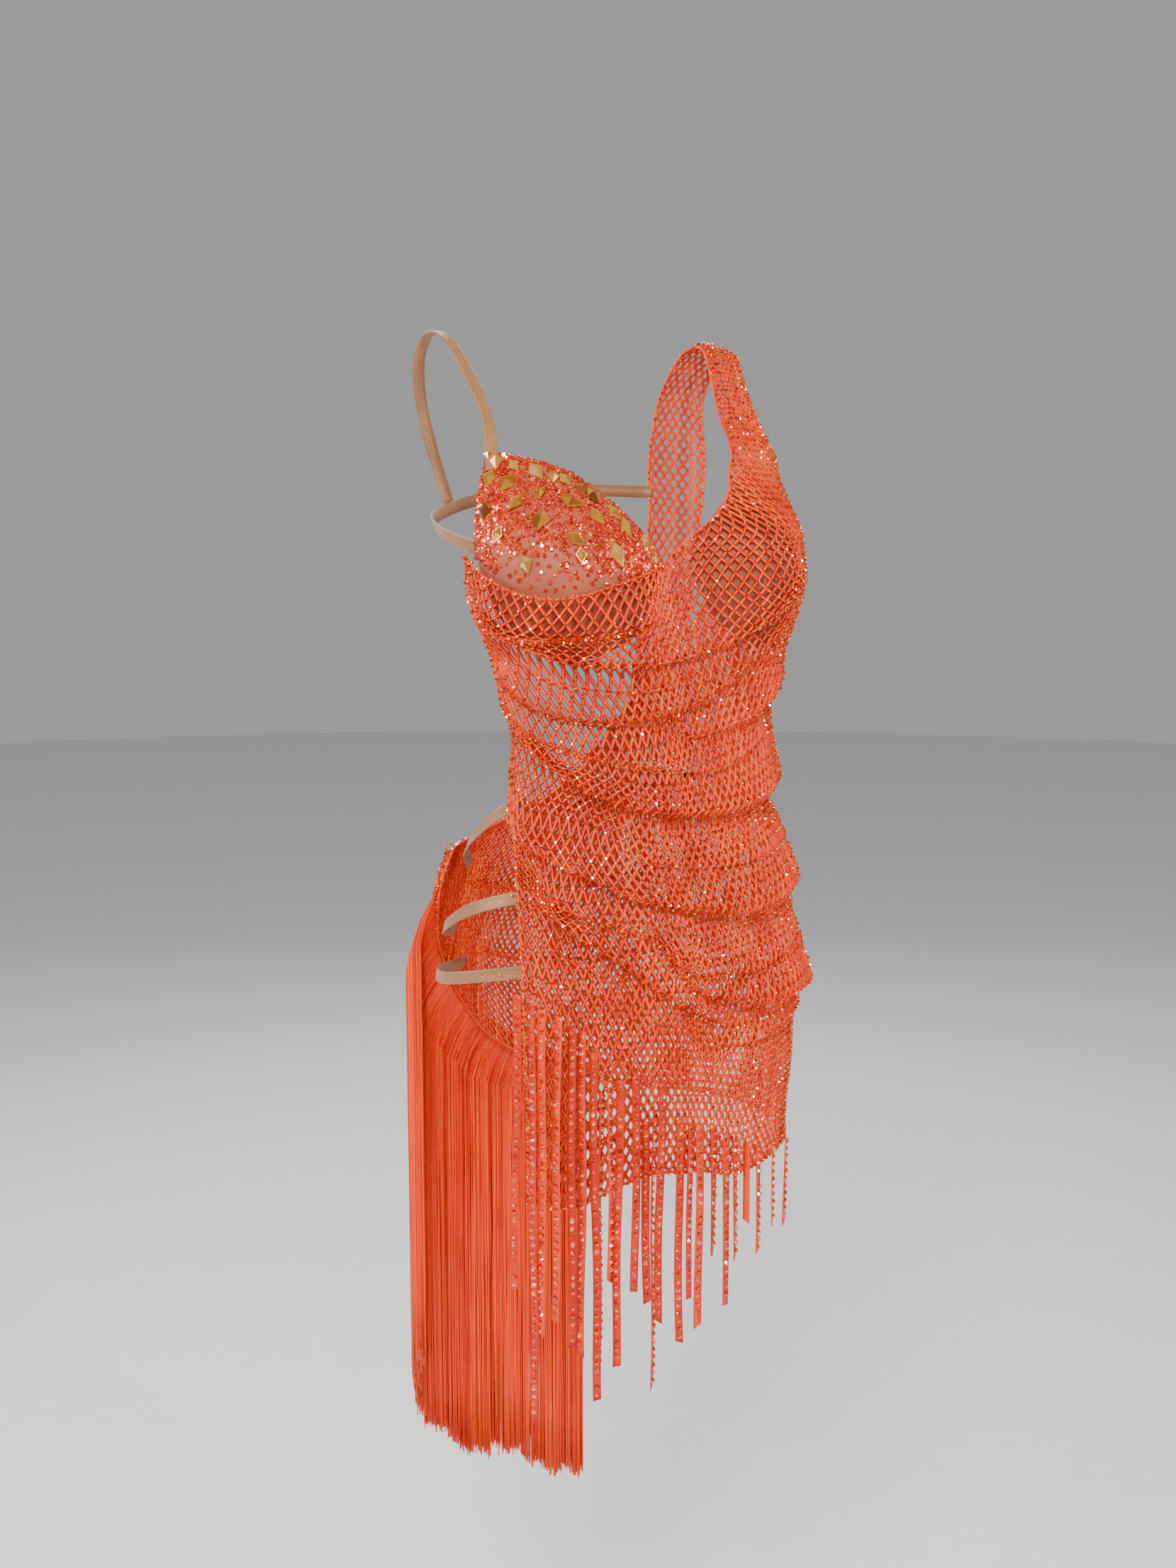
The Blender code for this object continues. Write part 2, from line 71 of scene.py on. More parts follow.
def spline(knots: Sequence, values: Sequence, at: Array) -> Array:
    """Reads a smooth curve through values at rising knots.

    Args:
        knots: One number or array for each value.
        values: Numbers or arrays that broadcast with at.
        at: Where to read the curve. It is held inside the knots.

    Returns:
        The values at those places.
    """
    at = np.clip(at, knots[0], knots[-1])
    last = len(knots) - 1
    slopes = []
    for k in range(last + 1):
        before, after = max(k - 1, 0), min(k + 1, last)
        slopes.append((values[after] - values[before]) / (knots[after] - knots[before]))
    if all(np.ndim(v) == 0 for v in [*knots, *values]):
        knots, values, slopes = np.array(knots), np.array(values), np.array(slopes)
        k = np.clip(np.searchsorted(knots, at, side="right") - 1, 0, last - 1)
        width = knots[k + 1] - knots[k]
        x = (at - knots[k]) / width
        return hermite(x, values[k], values[k + 1], slopes[k] * width, slopes[k + 1] * width)
    out: Array = values[0] + 0.0 * at
    for k in range(last):
        width = knots[k + 1] - knots[k]
        x = (at - knots[k]) / width
        part = hermite(x, values[k], values[k + 1], slopes[k] * width, slopes[k + 1] * width)
        out = np.where(at >= knots[k], part, out)
    return out


def hermite(x: Array, start: Array, end: Array, leave: Array, arrive: Array) -> Array:
    """Cubic from start to end with given slopes, at a share x of the way."""
    square = x * x
    rise = square * (3.0 - 2.0 * x)
    bend = square * (x - 1.0)
    return start + (end - start) * rise + leave * (bend - square + x) + arrive * bend


def column(rows: Sequence, name: str, key: str, at: Array) -> Array:
    """Reads one column of a table smoothly at values of its key column.

    Args:
        rows: Named tuples in rising order of the key.
        name: The column to read.
        key: The column that orders the rows.
        at: Key values.

    Returns:
        The column's values there.
    """
    return spline([getattr(r, key) for r in rows], [getattr(r, name) for r in rows], at)


def blend(start: Array, end: Array, share: Array) -> Array:
    """Straight blend from start to end at a share of the way."""
    return start + share * (end - start)


def smoothstep(low: float, high: float, value: Array) -> Array:
    """0 below low, 1 above high, and a smooth rise between."""
    share = np.clip((value - low) / (high - low), 0.0, 1.0)
    return share * share * (3.0 - 2.0 * share)


def unit(vectors: Array) -> Array:
    """Vectors scaled to length 1."""
    return vectors / np.maximum(np.linalg.norm(vectors, axis=-1, keepdims=True), 1e-12)


def arc_table(points: Array) -> Array:
    """Running length along a path of points."""
    steps = np.linalg.norm(np.diff(points, axis=0), axis=-1)
    return np.concatenate([[0.0], np.cumsum(steps)])


def even_shares(path: Array, pitch: float, extra: int = 0) -> tuple[int, Array]:
    """Splits a path, sampled at even shares, into steps of even length.

    Args:
        path: Its points.
        pitch: Length of a step.
        extra: Places to read past the number of steps.

    Returns:
        How many steps fit, and the shares at which they fall.
    """
    arc = arc_table(path)
    count = int(arc[-1] / pitch)
    places = np.linspace(0, arc[-1], count + extra)
    return count, np.interp(places, arc, np.linspace(0.0, 1.0, len(path)))


def read_at(at: Array, arc: Array, *paths: Array) -> list[Array]:
    """Values of each path at running lengths, from the running length of its points."""
    return [np.stack([np.interp(at, arc, path[:, k]) for k in range(3)], -1) for path in paths]


def outward(points: Array, axis: Sequence[float], upright: float = 0.0) -> Array:
    """Directions away from an upright axis, tipped by a share of the height."""
    return unit((points - np.array(axis)) * [1.0, 1.0, upright])


def side_quads(near: Array, far: Array, flipped: bool = False) -> Array:
    """Faces between two rings of corner numbers, or between many pairs of them."""
    corners = [near, np.roll(near, -1, 1), np.roll(far, -1, 1), far]
    if flipped:
        corners = [corners[k] for k in (0, 3, 2, 1)]
    return np.stack(corners, -1).reshape(-1, 4)


class Station(NamedTuple):
    """One level of the general figure."""

    level: float
    shift: float
    middle: float
    half_width: float
    front: float
    back: float


@dataclass(frozen=True)
class Figure:
    """The general worn form that the cloth is laid over."""

    oval_power: float = 2.25
    bust_height: float = 0.042
    bust_angle: float = 42.0
    bust_level: float = -0.170
    bust_spread: float = 27.0
    bust_above: float = 0.066
    bust_below: float = 0.078
    stations: tuple[Station, ...] = (
        Station(-0.950, -0.012, -0.076, 0.132, 0.098, 0.090),
        Station(-0.750, -0.012, -0.076, 0.135, 0.100, 0.096),
        Station(-0.620, -0.012, -0.079, 0.138, 0.103, 0.102),
        Station(-0.500, -0.012, -0.084, 0.143, 0.104, 0.108),
        Station(-0.420, -0.010, -0.084, 0.132, 0.097, 0.088),
        Station(-0.335, -0.006, -0.082, 0.108, 0.086, 0.072),
        Station(-0.245, -0.005, -0.064, 0.121, 0.094, 0.078),
        Station(-0.175, -0.005, -0.050, 0.126, 0.096, 0.082),
        Station(-0.120, -0.003, -0.036, 0.139, 0.092, 0.076),
        Station(-0.080, 0.000, -0.024, 0.148, 0.084, 0.066),
        Station(-0.040, 0.000, -0.012, 0.150, 0.068, 0.055),
        Station(0.000, 0.000, -0.002, 0.150, 0.040, 0.040),
    )

    def bust(self, angle: Array, level: Array) -> Array:
        """Rise over the two cups."""
        spread = np.where(level > self.bust_level, self.bust_above, self.bust_below)
        upright = np.exp(-(((level - self.bust_level) / spread) ** 2))
        left = np.exp(-(((angle - self.bust_angle) / self.bust_spread) ** 2))
        right = np.exp(-(((angle + self.bust_angle) / self.bust_spread) ** 2))
        return self.bust_height * upright * (left + right)

    def point(self, angle: Array, level: Array, lift: Array) -> Array:
        """Points at a stand-off over the figure.

        Args:
            angle: Degrees round the body.
            level: Height below the shoulders, as a negative number.
            lift: Stand-off from the figure.

        Returns:
            An array of points, with x, y and z last.
        """
        angle, level, lift = np.broadcast_arrays(angle, level, lift)
        turn = np.radians(angle)
        side, ahead = np.sin(turn), np.cos(turn)
        width = column(self.stations, "half_width", "level", level) + lift
        front = column(self.stations, "front", "level", level)
        back = column(self.stations, "back", "level", level)
        depth = np.where(ahead > 0, front, back) + lift
        power = self.oval_power
        oval = (np.abs(side) / width) ** power + (np.abs(ahead) / depth) ** power
        radius = oval ** (-1.0 / power) + self.bust(angle, level)
        x = column(self.stations, "shift", "level", level) + radius * side
        y = column(self.stations, "middle", "level", level) - radius * ahead
        return np.stack([x, y, level], -1)

    def normal(self, angle: Array, level: Array, lift: Array) -> Array:
        """Outward directions of that surface."""
        across = self.point(angle + 1.0, level, lift) - self.point(angle - 1.0, level, lift)
        upward = self.point(angle, level + 0.003, lift) - self.point(angle, level - 0.003, lift)
        return unit(np.cross(across, upward))


class Fold(NamedTuple):
    """One swagged roll: the level of its tuck at six angles, its size and how far it runs."""

    a: float
    b: float
    c: float
    d: float
    e: float
    f: float
    depth: float
    reach: float
    first: float
    last: float


@dataclass(frozen=True)
class Folds:
    """The rolls of one panel."""

    angles: tuple[float, ...]
    rows: tuple[Fold, ...]
    head: float = 16.0
    tail: float = 34.0

    def stand_off(self, angle: Array, level: Array) -> Array:
        """How far the rolls stand out: each grows toward its tuck, then turns in sharply."""
        total = np.zeros(np.broadcast(angle, level).shape)
        for fold in self.rows:
            run = smoothstep(fold.first, fold.first + self.head, angle)
            run = run * (1.0 - smoothstep(fold.last - self.tail, fold.last, angle))
            above = level - spline(self.angles, fold[:6], angle)
            roll = smoothstep(-0.20 * fold.reach, 0.14 * fold.reach, above)
            roll = roll * (1.0 - smoothstep(0.14 * fold.reach, fold.reach, above))
            total = total + fold.depth * run * roll
        return total


# ---------------------------------------------------------------- meshes


class Form(NamedTuple):
    """A small shape that is copied many times."""

    points: Array
    faces: list[Array]


@dataclass
class Shape:
    """Points, faces and one tone for each point, gathered piece by piece."""

    points: list[Array] = field(default_factory=list)
    faces: list[Array] = field(default_factory=list)
    tones: list[Array] = field(default_factory=list)
    count: int = 0

    def add(self, points: Array, faces: Sequence[Array], tones: Array | float = 0.5) -> None:
        """Adds one group.

        Args:
            points: Points, as (n, 3).
            faces: Arrays of corner numbers, each of one face size.
            tones: One tone in 0 to 1 for each point, or one for all.
        """
        self.points.append(points)
        self.tones.append(np.broadcast_to(np.asarray(tones, float), len(points)))
        self.faces.extend(f + self.count for f in faces if len(f))
        self.count += len(points)

    def build(
        self, name: str, smooth: bool = True, rng: np.random.Generator | None = None
    ) -> bpy.types.Object:
        """Makes the mesh object, without unused points.

        Args:
            name: The piece's name.
            smooth: Whether its faces are shaded smooth.
            rng: Random source for the painted reflection of each cut face, bright or dark, on a
                piece of stones.

        Returns:
            The new object.
        """
        points, tones = np.concatenate(self.points), np.concatenate(self.tones)
        corners = np.concatenate([f.reshape(-1) for f in self.faces])
        used, corners = np.unique(corners, return_inverse=True)
        sizes = np.concatenate([np.full(len(f), f.shape[1]) for f in self.faces])
        mesh = bpy.data.meshes.new(name)
        mesh.vertices.add(len(used))
        mesh.vertices.foreach_set("co", points[used].astype(np.float32).reshape(-1))
        mesh.loops.add(len(corners))
        mesh.loops.foreach_set("vertex_index", corners.astype(np.int32).reshape(-1))
        mesh.polygons.add(len(sizes))
        starts = np.concatenate([[0], np.cumsum(sizes)[:-1]]).astype(np.int32)
        mesh.polygons.foreach_set("loop_start", starts)
        mesh.update(calc_edges=True)
        mesh.polygons.foreach_set("use_smooth", np.full(len(sizes), smooth))
        tone = mesh.attributes.new("tone", "FLOAT", "POINT")
        tone.data.foreach_set("value", tones[used].astype(np.float32))
        if rng is not None:
            facet = mesh.attributes.new("facet", "FLOAT", "FACE")
            # Each cut face: half the stone's own tone, half a random painted reflection; pale faces
            # are painted glints, dark ones painted dark reflections
            share = 0.5 * tones[used][corners[starts]] + 0.5 * rng.random(len(sizes))
            facet.data.foreach_set("value", share.astype(np.float32))
        made = bpy.data.objects.new(name, mesh)
        bpy.context.scene.collection.objects.link(made)
        LOG.info("%s: %d faces", name, len(sizes))
        return made


def add_tubes(
    shape: Shape,
    paths: Array,
    normals: Array,
    width: float,
    depth: float,
    sides: int = 3,
    span: tuple[Array, Array] | None = None,
    tones: Array | None = None,
) -> None:
    """Adds closed cords along paths.

    Args:
        shape: Where they go.
        paths: Points of the cords, as (cords, rings, 3).
        normals: Outward directions there.
        width: Size across, along the cloth.
        depth: Size outward.
        sides: Sides of a cord's section.
        span: First and last ring of each cord, or all of them.
        tones: One tone for each cord.
    """
    cords, rings = paths.shape[:2]
    first, last = span if span else (np.zeros(cords, int), np.full(cords, rings - 1))
    along = unit(np.gradient(paths, axis=1))
    across = unit(np.cross(normals, along))
    out = np.cross(along, across)
    turn = np.pi / 2 + np.arange(sides) * 2 * np.pi / sides
    ring = np.cos(turn)[:, None] * (width / 2) * across[:, :, None]
    ring = ring + np.sin(turn)[:, None] * (depth / 2) * out[:, :, None]
    points = (paths[:, :, None] + ring).reshape(-1, 3)
    number = np.arange(cords * rings * sides).reshape(cords, rings, sides)
    here = np.arange(rings - 1)[None]
    kept = (here >= first[:, None]) & (here < last[:, None])
    near, far = number[:, :-1][kept], number[:, 1:][kept]
    quads = side_quads(near, far)
    live = last > first
    starts = number[np.arange(cords), first][live][:, ::-1]
    ends = number[np.arange(cords), last][live]
    shades = 0.5 if tones is None else np.repeat(tones, rings * sides)
    shape.add(points, [quads, starts, ends], shades)


def turned_frames(normals: Array, spins: Array) -> Array:
    """Axes for pieces set on a surface, turned round its normal.

    Args:
        normals: Outward directions, as (n, 3).
        spins: Turns in radians.

    Returns:
        Two directions in the surface and the normal, as (n, 3, 3).
    """
    normals = unit(normals)
    helper = np.where(np.abs(normals[:, 2:3]) > 0.8, [[1.0, 0.0, 0.0]], [[0.0, 0.0, 1.0]])
    first = unit(np.cross(helper, normals))
    second = np.cross(normals, first)
    cos, sin = np.cos(spins)[:, None], np.sin(spins)[:, None]
    return np.stack([first * cos + second * sin, second * cos - first * sin, normals], 1)


def set_copies(
    shape: Shape, form: Form, places: Array, frames: Array, sizes: Array, tones: Array
) -> None:
    """Adds a copy of one small form at each place.

    Args:
        shape: Where they go.
        form: The small form, about its own origin and about 1 wide.
        places: Where the copies go, as (n, 3).
        frames: Their axes, from turned_frames.
        sizes: Their sizes, as (n,) or (n, 3).
        tones: One tone for each copy.
    """
    scale = sizes[:, None] if sizes.ndim == 1 else sizes
    local = form.points[None] * scale[:, None, :]
    world = places[:, None] + np.einsum("npk,nkc->npc", local, frames)
    offsets = np.arange(len(places)) * len(form.points)
    many = [(f[None] + offsets[:, None, None]).reshape(-1, f.shape[1]) for f in form.faces]
    shape.add(world.reshape(-1, 3), many, np.repeat(tones, len(form.points)))


def take_form() -> Form:
    """Reads the active object's mesh and removes the object.

    Returns:
        Its points and its faces, grouped by their number of corners.
    """
    bpy.ops.object.mode_set(mode="OBJECT")
    made = bpy.context.object
    points = np.array([vert.co[:] for vert in made.data.vertices])
    polygons = [list(polygon.vertices) for polygon in made.data.polygons]
    kinds = sorted({len(p) for p in polygons})
    faces = [np.array([p for p in polygons if len(p) == n]) for n in kinds]
    bpy.data.objects.remove(made)
    return Form(points, faces)


def select_points(made: bpy.types.Object, wanted: Callable[[Vector], bool]) -> None:
    """Selects the points of the mesh in edit mode that a test wants, and nothing else."""
    bpy.ops.mesh.select_all(action="DESELECT")
    bpy.ops.mesh.select_mode(type="VERT")
    mesh = bmesh.from_edit_mesh(made.data)
    for vert in mesh.verts:
        vert.select_set(wanted(vert.co))
    mesh.select_flush(True)
    bmesh.update_edit_mesh(made.data)


class Cut(Enum):
    """How a round stone is cut: sides, and its table's width and height as shares of its width."""

    CHATON = (6, 0.56, 0.42)
    SMALL = (5, 0.56, 0.48)

    def form(self) -> Form:
        """A flat-backed stone of width 1 whose table is turned half a side."""
        sides, table, height = self.value
        bpy.ops.object.select_all(action="DESELECT")
        bpy.ops.mesh.primitive_cone_add(
            vertices=sides, radius1=0.5, radius2=table / 2, depth=height,
            location=(0, 0, height / 2),
        )
        made = bpy.context.object
        bpy.ops.object.transform_apply(location=True)
        bpy.ops.object.mode_set(mode="EDIT")
        select_points(made, lambda co: co.z > height / 2)
        bpy.ops.transform.rotate(
            value=math.pi / sides, orient_axis="Z", center_override=(0, 0, height)
        )
        bpy.ops.mesh.select_all(action="SELECT")
        bpy.ops.mesh.quads_convert_to_tris()
        return take_form()


def kite_form(rim: float = 0.10, peak: float = 0.20) -> Form:
    """A kite-shaped sew-on crystal, about one unit long, whose four crown faces meet off centre.

    Args:
        rim: Height of its girdle.
        peak: Height of its crown.

    Returns:
        The form.
    """
    bpy.ops.object.select_all(action="DESELECT")
    bpy.ops.mesh.primitive_cylinder_add(
        vertices=4, radius=0.46, depth=rim, location=(0, 0, rim / 2)
    )
    made = bpy.context.object
    bpy.ops.object.transform_apply(location=True)
    bpy.ops.object.mode_set(mode="EDIT")
    bpy.ops.mesh.select_all(action="SELECT")
    bpy.ops.transform.resize(value=(0.82, 1.0, 1.0))
    select_points(made, lambda co: co.y < -0.3)
    bpy.ops.transform.translate(value=(0.0, -0.14, 0.0))
    select_points(made, lambda co: co.z > rim / 2)
    bpy.ops.mesh.inset(thickness=0.05)
    bpy.ops.mesh.extrude_region_move(TRANSFORM_OT_translate={"value": (0.03, 0.04, peak)})
    bpy.ops.mesh.merge(type="CENTER")
    points, (crown, rest) = take_form()
    # The crown's faces start at one that varies between runs
    start = int(np.argmin(crown[:, 0]))
    return Form(points, [np.roll(crown, -start, axis=0), rest])


def bead_form() -> Form:
    """A small round bead of width 1."""
    bpy.ops.object.select_all(action="DESELECT")
    bpy.ops.mesh.primitive_uv_sphere_add(segments=8, ring_count=5, radius=0.5)
    points, faces = take_form()
    # The sphere's faces come in an order that varies between runs
    return Form(points, [kind[np.lexsort(kind.T)] for kind in faces])


# ---------------------------------------------------------------- finishes


def linear(code: str) -> tuple[float, float, float, float]:
    """Linear colour of an sRGB hex value such as "#E8502E"."""
    parts = [int(code[k : k + 2], 16) / 255 for k in (1, 3, 5)]
    low = [p / 12.92 if p <= 0.04045 else ((p + 0.055) / 1.055) ** 2.4 for p in parts]
    return low[0], low[1], low[2], 1.0


def add_node(
    tree: bpy.types.NodeTree, kind: str, settings: dict | None = None, links: dict | None = None
) -> bpy.types.Node:
    """Adds one shader node.

    Args:
        tree: The material's node tree.
        kind: The node's type name.
        settings: Node attributes, and input values under their names.
        links: Output sockets to join to its inputs, by input name or number.

    Returns:
        The node.
    """
    node = tree.nodes.new(kind)
    for name, value in (settings or {}).items():
        if not isinstance(name, str) or name in node.inputs:
            node.inputs[name].default_value = value
        else:
            setattr(node, name, value)
    for name, socket in (links or {}).items():
        tree.links.new(socket, node.inputs[name])
    return node


@dataclass(frozen=True)
class Finish:
    """A surface whose colour runs through a ramp and whose grain is a real size in millimetres."""

    name: str
    slot: str
    colors: tuple[str, ...]
    roughness: float
    grain_mm: float
    bump_mm: float
    metallic: float = 0.0
    coat: float = 0.0
    sheen: float = 0.0
    tone_share: float = 0.5
    weave: bool = False
    ior: float = 1.5
    shade_by: str = "tone"

    def material(self) -> bpy.types.Material:
        """Builds the node material, once."""
        found = bpy.data.materials.get(self.name)
        if found:
            return found
        made = bpy.data.materials.new(self.name)
        made.use_nodes = True
        tree = made.node_tree
        shader = tree.nodes["Principled BSDF"]
        settings = {
            "Roughness": self.roughness, "Metallic": self.metallic, "Coat Weight": self.coat,
            "Coat Roughness": 0.05, "Sheen Weight": self.sheen,
        }
        if not self.metallic:
            settings["IOR"] = self.ior
        for name, value in settings.items():
            shader.inputs[name].default_value = value
        place = add_node(tree, "ShaderNodeTexCoord").outputs["Object"]
        tone = add_node(
            tree, "ShaderNodeAttribute", {"attribute_name": self.shade_by}
        ).outputs["Fac"]
        grain = self.grain_node(tree, place)
        cloud = add_node(
            tree, "ShaderNodeTexNoise", {"Scale": 28.0, "Detail": 3.0}, {"Vector": place}
        ).outputs["Fac"]
        mixed = add_node(
            tree, "ShaderNodeMix", {"data_type": "FLOAT", "Factor": self.tone_share},
            {2: cloud, 3: tone},
        ).outputs[0]
        shaded = add_node(
            tree, "ShaderNodeMath", {"operation": "MULTIPLY_ADD", 1: 0.22}, {0: grain, 2: mixed}
        )
        ramp = add_node(tree, "ShaderNodeValToRGB", {}, {"Fac": shaded.outputs[0]})
        stops = ramp.color_ramp.elements
        while len(stops) < len(self.colors):
            stops.new(0.5)
        for k, code in enumerate(self.colors):
            stops[k].position = 0.12 + 0.92 * k / (len(self.colors) - 1)
            stops[k].color = linear(code)
        tree.links.new(ramp.outputs["Color"], shader.inputs["Base Color"])
        bump = add_node(
            tree, "ShaderNodeBump", {"Strength": 0.6, "Distance": self.bump_mm / 1000},
            {"Height": grain},
        )
        tree.links.new(bump.outputs["Normal"], shader.inputs["Normal"])
        return made

    def grain_node(
        self, tree: bpy.types.NodeTree, place: bpy.types.NodeSocket
    ) -> bpy.types.NodeSocket:
        """The fine pattern: woven ribs or spun fibre."""
        if self.weave:
            scale = 1000 / self.grain_mm / FULL_TURN
            bands = [
                add_node(
                    tree, "ShaderNodeTexWave",
                    {"wave_type": "BANDS", "bands_direction": way, "Scale": scale},
                    {"Vector": place},
                ).outputs["Fac"]
                for way in ("Z", "DIAGONAL")
            ]
            return add_node(
                tree, "ShaderNodeMath", {"operation": "MULTIPLY"}, {0: bands[0], 1: bands[1]}
            ).outputs[0]
        settings = {"Scale": 1000 / self.grain_mm, "Detail": 2.0}
        return add_node(tree, "ShaderNodeTexNoise", settings, {"Vector": place}).outputs["Fac"]


NET_SLOT = "coral_stoned_net"
CUP_SLOT = "nude_tulle_with_stones"
ELASTIC_SLOT = "tan_elastic"
RIBBON_SLOT = "stone_ribbon"
FRINGE_SLOT = "chainette_fringe"


def foiled_glass(
    name: str, slot: str, colors: tuple[str, ...], roughness: float, metallic: float,
    tone_share: float = 0.92, grain_mm: float = 3.0,
) -> Finish:
    """Cut glass with a foiled back, whose colour is partly its own tone and partly a painted
    reflection that changes from facet to facet.

    Args:
        name: The finish's name.
        slot: The record's material slot.
        colors: Its ramp, from dark to bright.
        roughness: Roughness of its facets.
        metallic: Share of the foil in its shine.
        tone_share: How much the stone's tone with its painted facet reflections decides the colour.
        grain_mm: Size of its grain.

    Returns:
        The finish.
    """
    return Finish(
        name, slot, colors, roughness, grain_mm, 0.02, metallic=metallic, coat=1.0,
        tone_share=tone_share, shade_by="facet",
    )


# Knitted polyester net cord: matt coral fibre, deeper where it turns from the light
NET_CORD = Finish(
    "coral_polyester_net_cord", NET_SLOT, ("#700C00", "#D23000", "#FF6404"), 0.50, 0.5, 0.15,
    ior=1.34,
)
# Foiled flat-backed glass in orange and amber; its facets carry painted straw-pale glints and
# painted dark reflections
NET_STONE = foiled_glass(
    "foiled_orange_flatback_glass", NET_SLOT, ("#5A1002", "#E03804", "#FF7A10", "#FFD888"),
    0.10, 0.85,
)
# The same glass set close on the cup: redder, with a few painted pale glints on its facets
CUP_STONE = foiled_glass(
    "foiled_hyacinth_flatback_glass", CUP_SLOT, ("#7A1200", "#DC2E04", "#FF5212", "#FFB068"),
    0.12, 0.8,
)
# Larger square-set glass of the ribbons: fiery red-orange, with painted dark reflections and rare
# painted pale glints on its facets
RIBBON_STONE = foiled_glass(
    "foiled_fire_opal_glass", RIBBON_SLOT, ("#A01800", "#D82A00", "#FF4A0C", "#FFC890"),
    0.12, 0.7, 0.94,
)
# Foiled sew-on crystal, amber and gold: its facets carry painted peach and gold glints and painted
# brown dark reflections between
KITE_CRYSTAL = foiled_glass(
    "foiled_amber_sew_on_crystal", CUP_SLOT, ("#4E1C08", "#C86E12", "#F4AE2C", "#FFC68C"),
    0.07, 0.75, 0.95, 4.0,
)
# Moulded cup in nude tulle: skin-brown, matt, with a fine net grain
TULLE = Finish(
    "nude_tulle_over_moulded_foam", CUP_SLOT, ("#6C2810", "#944020", "#AA5430"), 0.62, 0.7, 0.12,
    sheen=0.2,
)
# Plush-backed bra elastic: tan, satin, with fine ribs across; its tone paints a highlight on the
# raised ridges and shade in the hollows, on the walls and underneath
ELASTIC = Finish(
    "tan_plush_bra_elastic", ELASTIC_SLOT, ("#5E3A1E", "#8A5A30", "#A87648"), 0.46, 0.9, 0.12,
    sheen=0.15, weave=True, tone_share=0.3,
)
# Satin ribbon: smooth orange-red with a soft shine
RIBBON = Finish(
    "orange_satin_ribbon", RIBBON_SLOT, ("#921000", "#C02400", "#E84004"), 0.40, 0.6, 0.06,
    ior=1.36,
)
# Rayon chainette: silky red-orange thread with a long highlight
CHAINETTE = Finish(
    "rayon_chainette_thread", FRINGE_SLOT, ("#A01400", "#F23200", "#FF6406"), 0.38, 0.8, 0.08,
    tone_share=0.75, ior=1.32,
)
# Gold-plated seed bead: warm polished metal
GOLD_BEAD = Finish(
    "gold_plated_bead", ELASTIC_SLOT, ("#B07A1C", "#E8B84A", "#FFE08A"), 0.18, 2.0, 0.02,
    metallic=1.0,
)
# Studio paper: matt and pale, with a faint tooth
PAPER = Finish("pale_studio_paper", "", ("#E6E5E3", "#ECEBE9", "#F2F1EF"), 0.90, 6.0, 0.05)


def dress_up(piece: bpy.types.Object, finish: Finish, *nodes: str) -> bpy.types.Object:
    """Gives a piece its finish and its place in the model.

    Args:
        piece: The new object.
        finish: Its surface.
        nodes: CAD nodes that it stands for.

    Returns:
        The same object.
    """
    piece.data.materials.append(finish.material())
    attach(piece, BODY)
    if nodes:
        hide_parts(*nodes)
    return piece


# ---------------------------------------------------------------- net


@dataclass(frozen=True)
class NetGauge:
    """Sizes of the hexagonal net: cords meet at a knot, part, and meet their other neighbours."""

    hole: float = 0.0070
    step: float = 0.0057
    cord_width: float = 0.0031
    cord_depth: float = 0.0020
    pillar: float = 0.30
    closeness: float = 0.13

    @property
    def spacing(self) -> float:
        """Distance between cords."""
        return self.hole / 2

    def weave(
        self, shape: Shape, surface: Surface, cords: int, rows: tuple[int, int],
        inside: Callable[[Array, Array], Array], rng: np.random.Generator,
    ) -> None:
        """Adds the cords of one panel.

        Args:
            shape: Where they go.
            surface: Place of a cord number and a row number.
            cords: How many cords there are.
            rows: First and last row.
            inside: Whether a cord number and row number lie inside the panel's outline.
            rng: Random source for the cords' small differences.
        """
        row = np.arange(rows[0], rows[1] + 1)
        ring = np.stack([row - self.pillar / 2, row + self.pillar / 2], 1).reshape(-1)
        number = np.arange(cords)
        lean = np.where((number[:, None] + row[None]) % 2 == 0, 1.0, -1.0) * (0.5 - self.closeness)
        across = number[:, None] + np.repeat(lean, 2, axis=1)
        across = np.clip(across, 0.0, cords - 1.0)
        down = np.broadcast_to(ring[None], across.shape)
        paths = surface(across, down)
        normals = self.normals(surface, across, down)
        within = inside(across, down)
        wobble = rng.normal(0.0, 0.00016, paths.shape[:2])[..., None]
        paths = paths + normals * wobble
        first = np.argmax(within, axis=1)
        last = within.shape[1] - 1 - np.argmax(within[:, ::-1], axis=1)
        first = np.where(within.any(1), np.maximum(first - 1, 0), 0)
        last = np.where(within.any(1), np.minimum(last + 1, within.shape[1] - 1), 0)
        tones = np.clip(rng.normal(0.5, 0.14, cords), 0, 1)
        add_tubes(
            shape, paths, normals, self.cord_width, self.cord_depth, span=(first, last), tones=tones
        )

    @staticmethod
    def normals(surface: Surface, across: Array, down: Array) -> Array:
        """Outward directions of a panel at cord and row numbers."""
        side = surface(across + 0.3, down) - surface(across - 0.3, down)
        fall = surface(across, down + 0.3) - surface(across, down - 0.3)
        return unit(np.cross(fall, side))

    def knots(
        self, surface: Surface, cords: int, rows: tuple[int, int],
        inside: Callable[[Array, Array], Array],
    ) -> tuple[Array, Array]:
        """Places and outward directions of the knots of a panel."""
        number, row = np.meshgrid(np.arange(cords - 1), np.arange(rows[0], rows[1] + 1))
        meets = (number + row) % 2 == 0
        across, down = number[meets] + 0.5, row[meets].astype(float)
        kept = inside(across, down)
        across, down = across[kept], down[kept]
        normals = self.normals(surface, across, down)
        return surface(across, down) + normals * (self.cord_depth * 0.42), normals


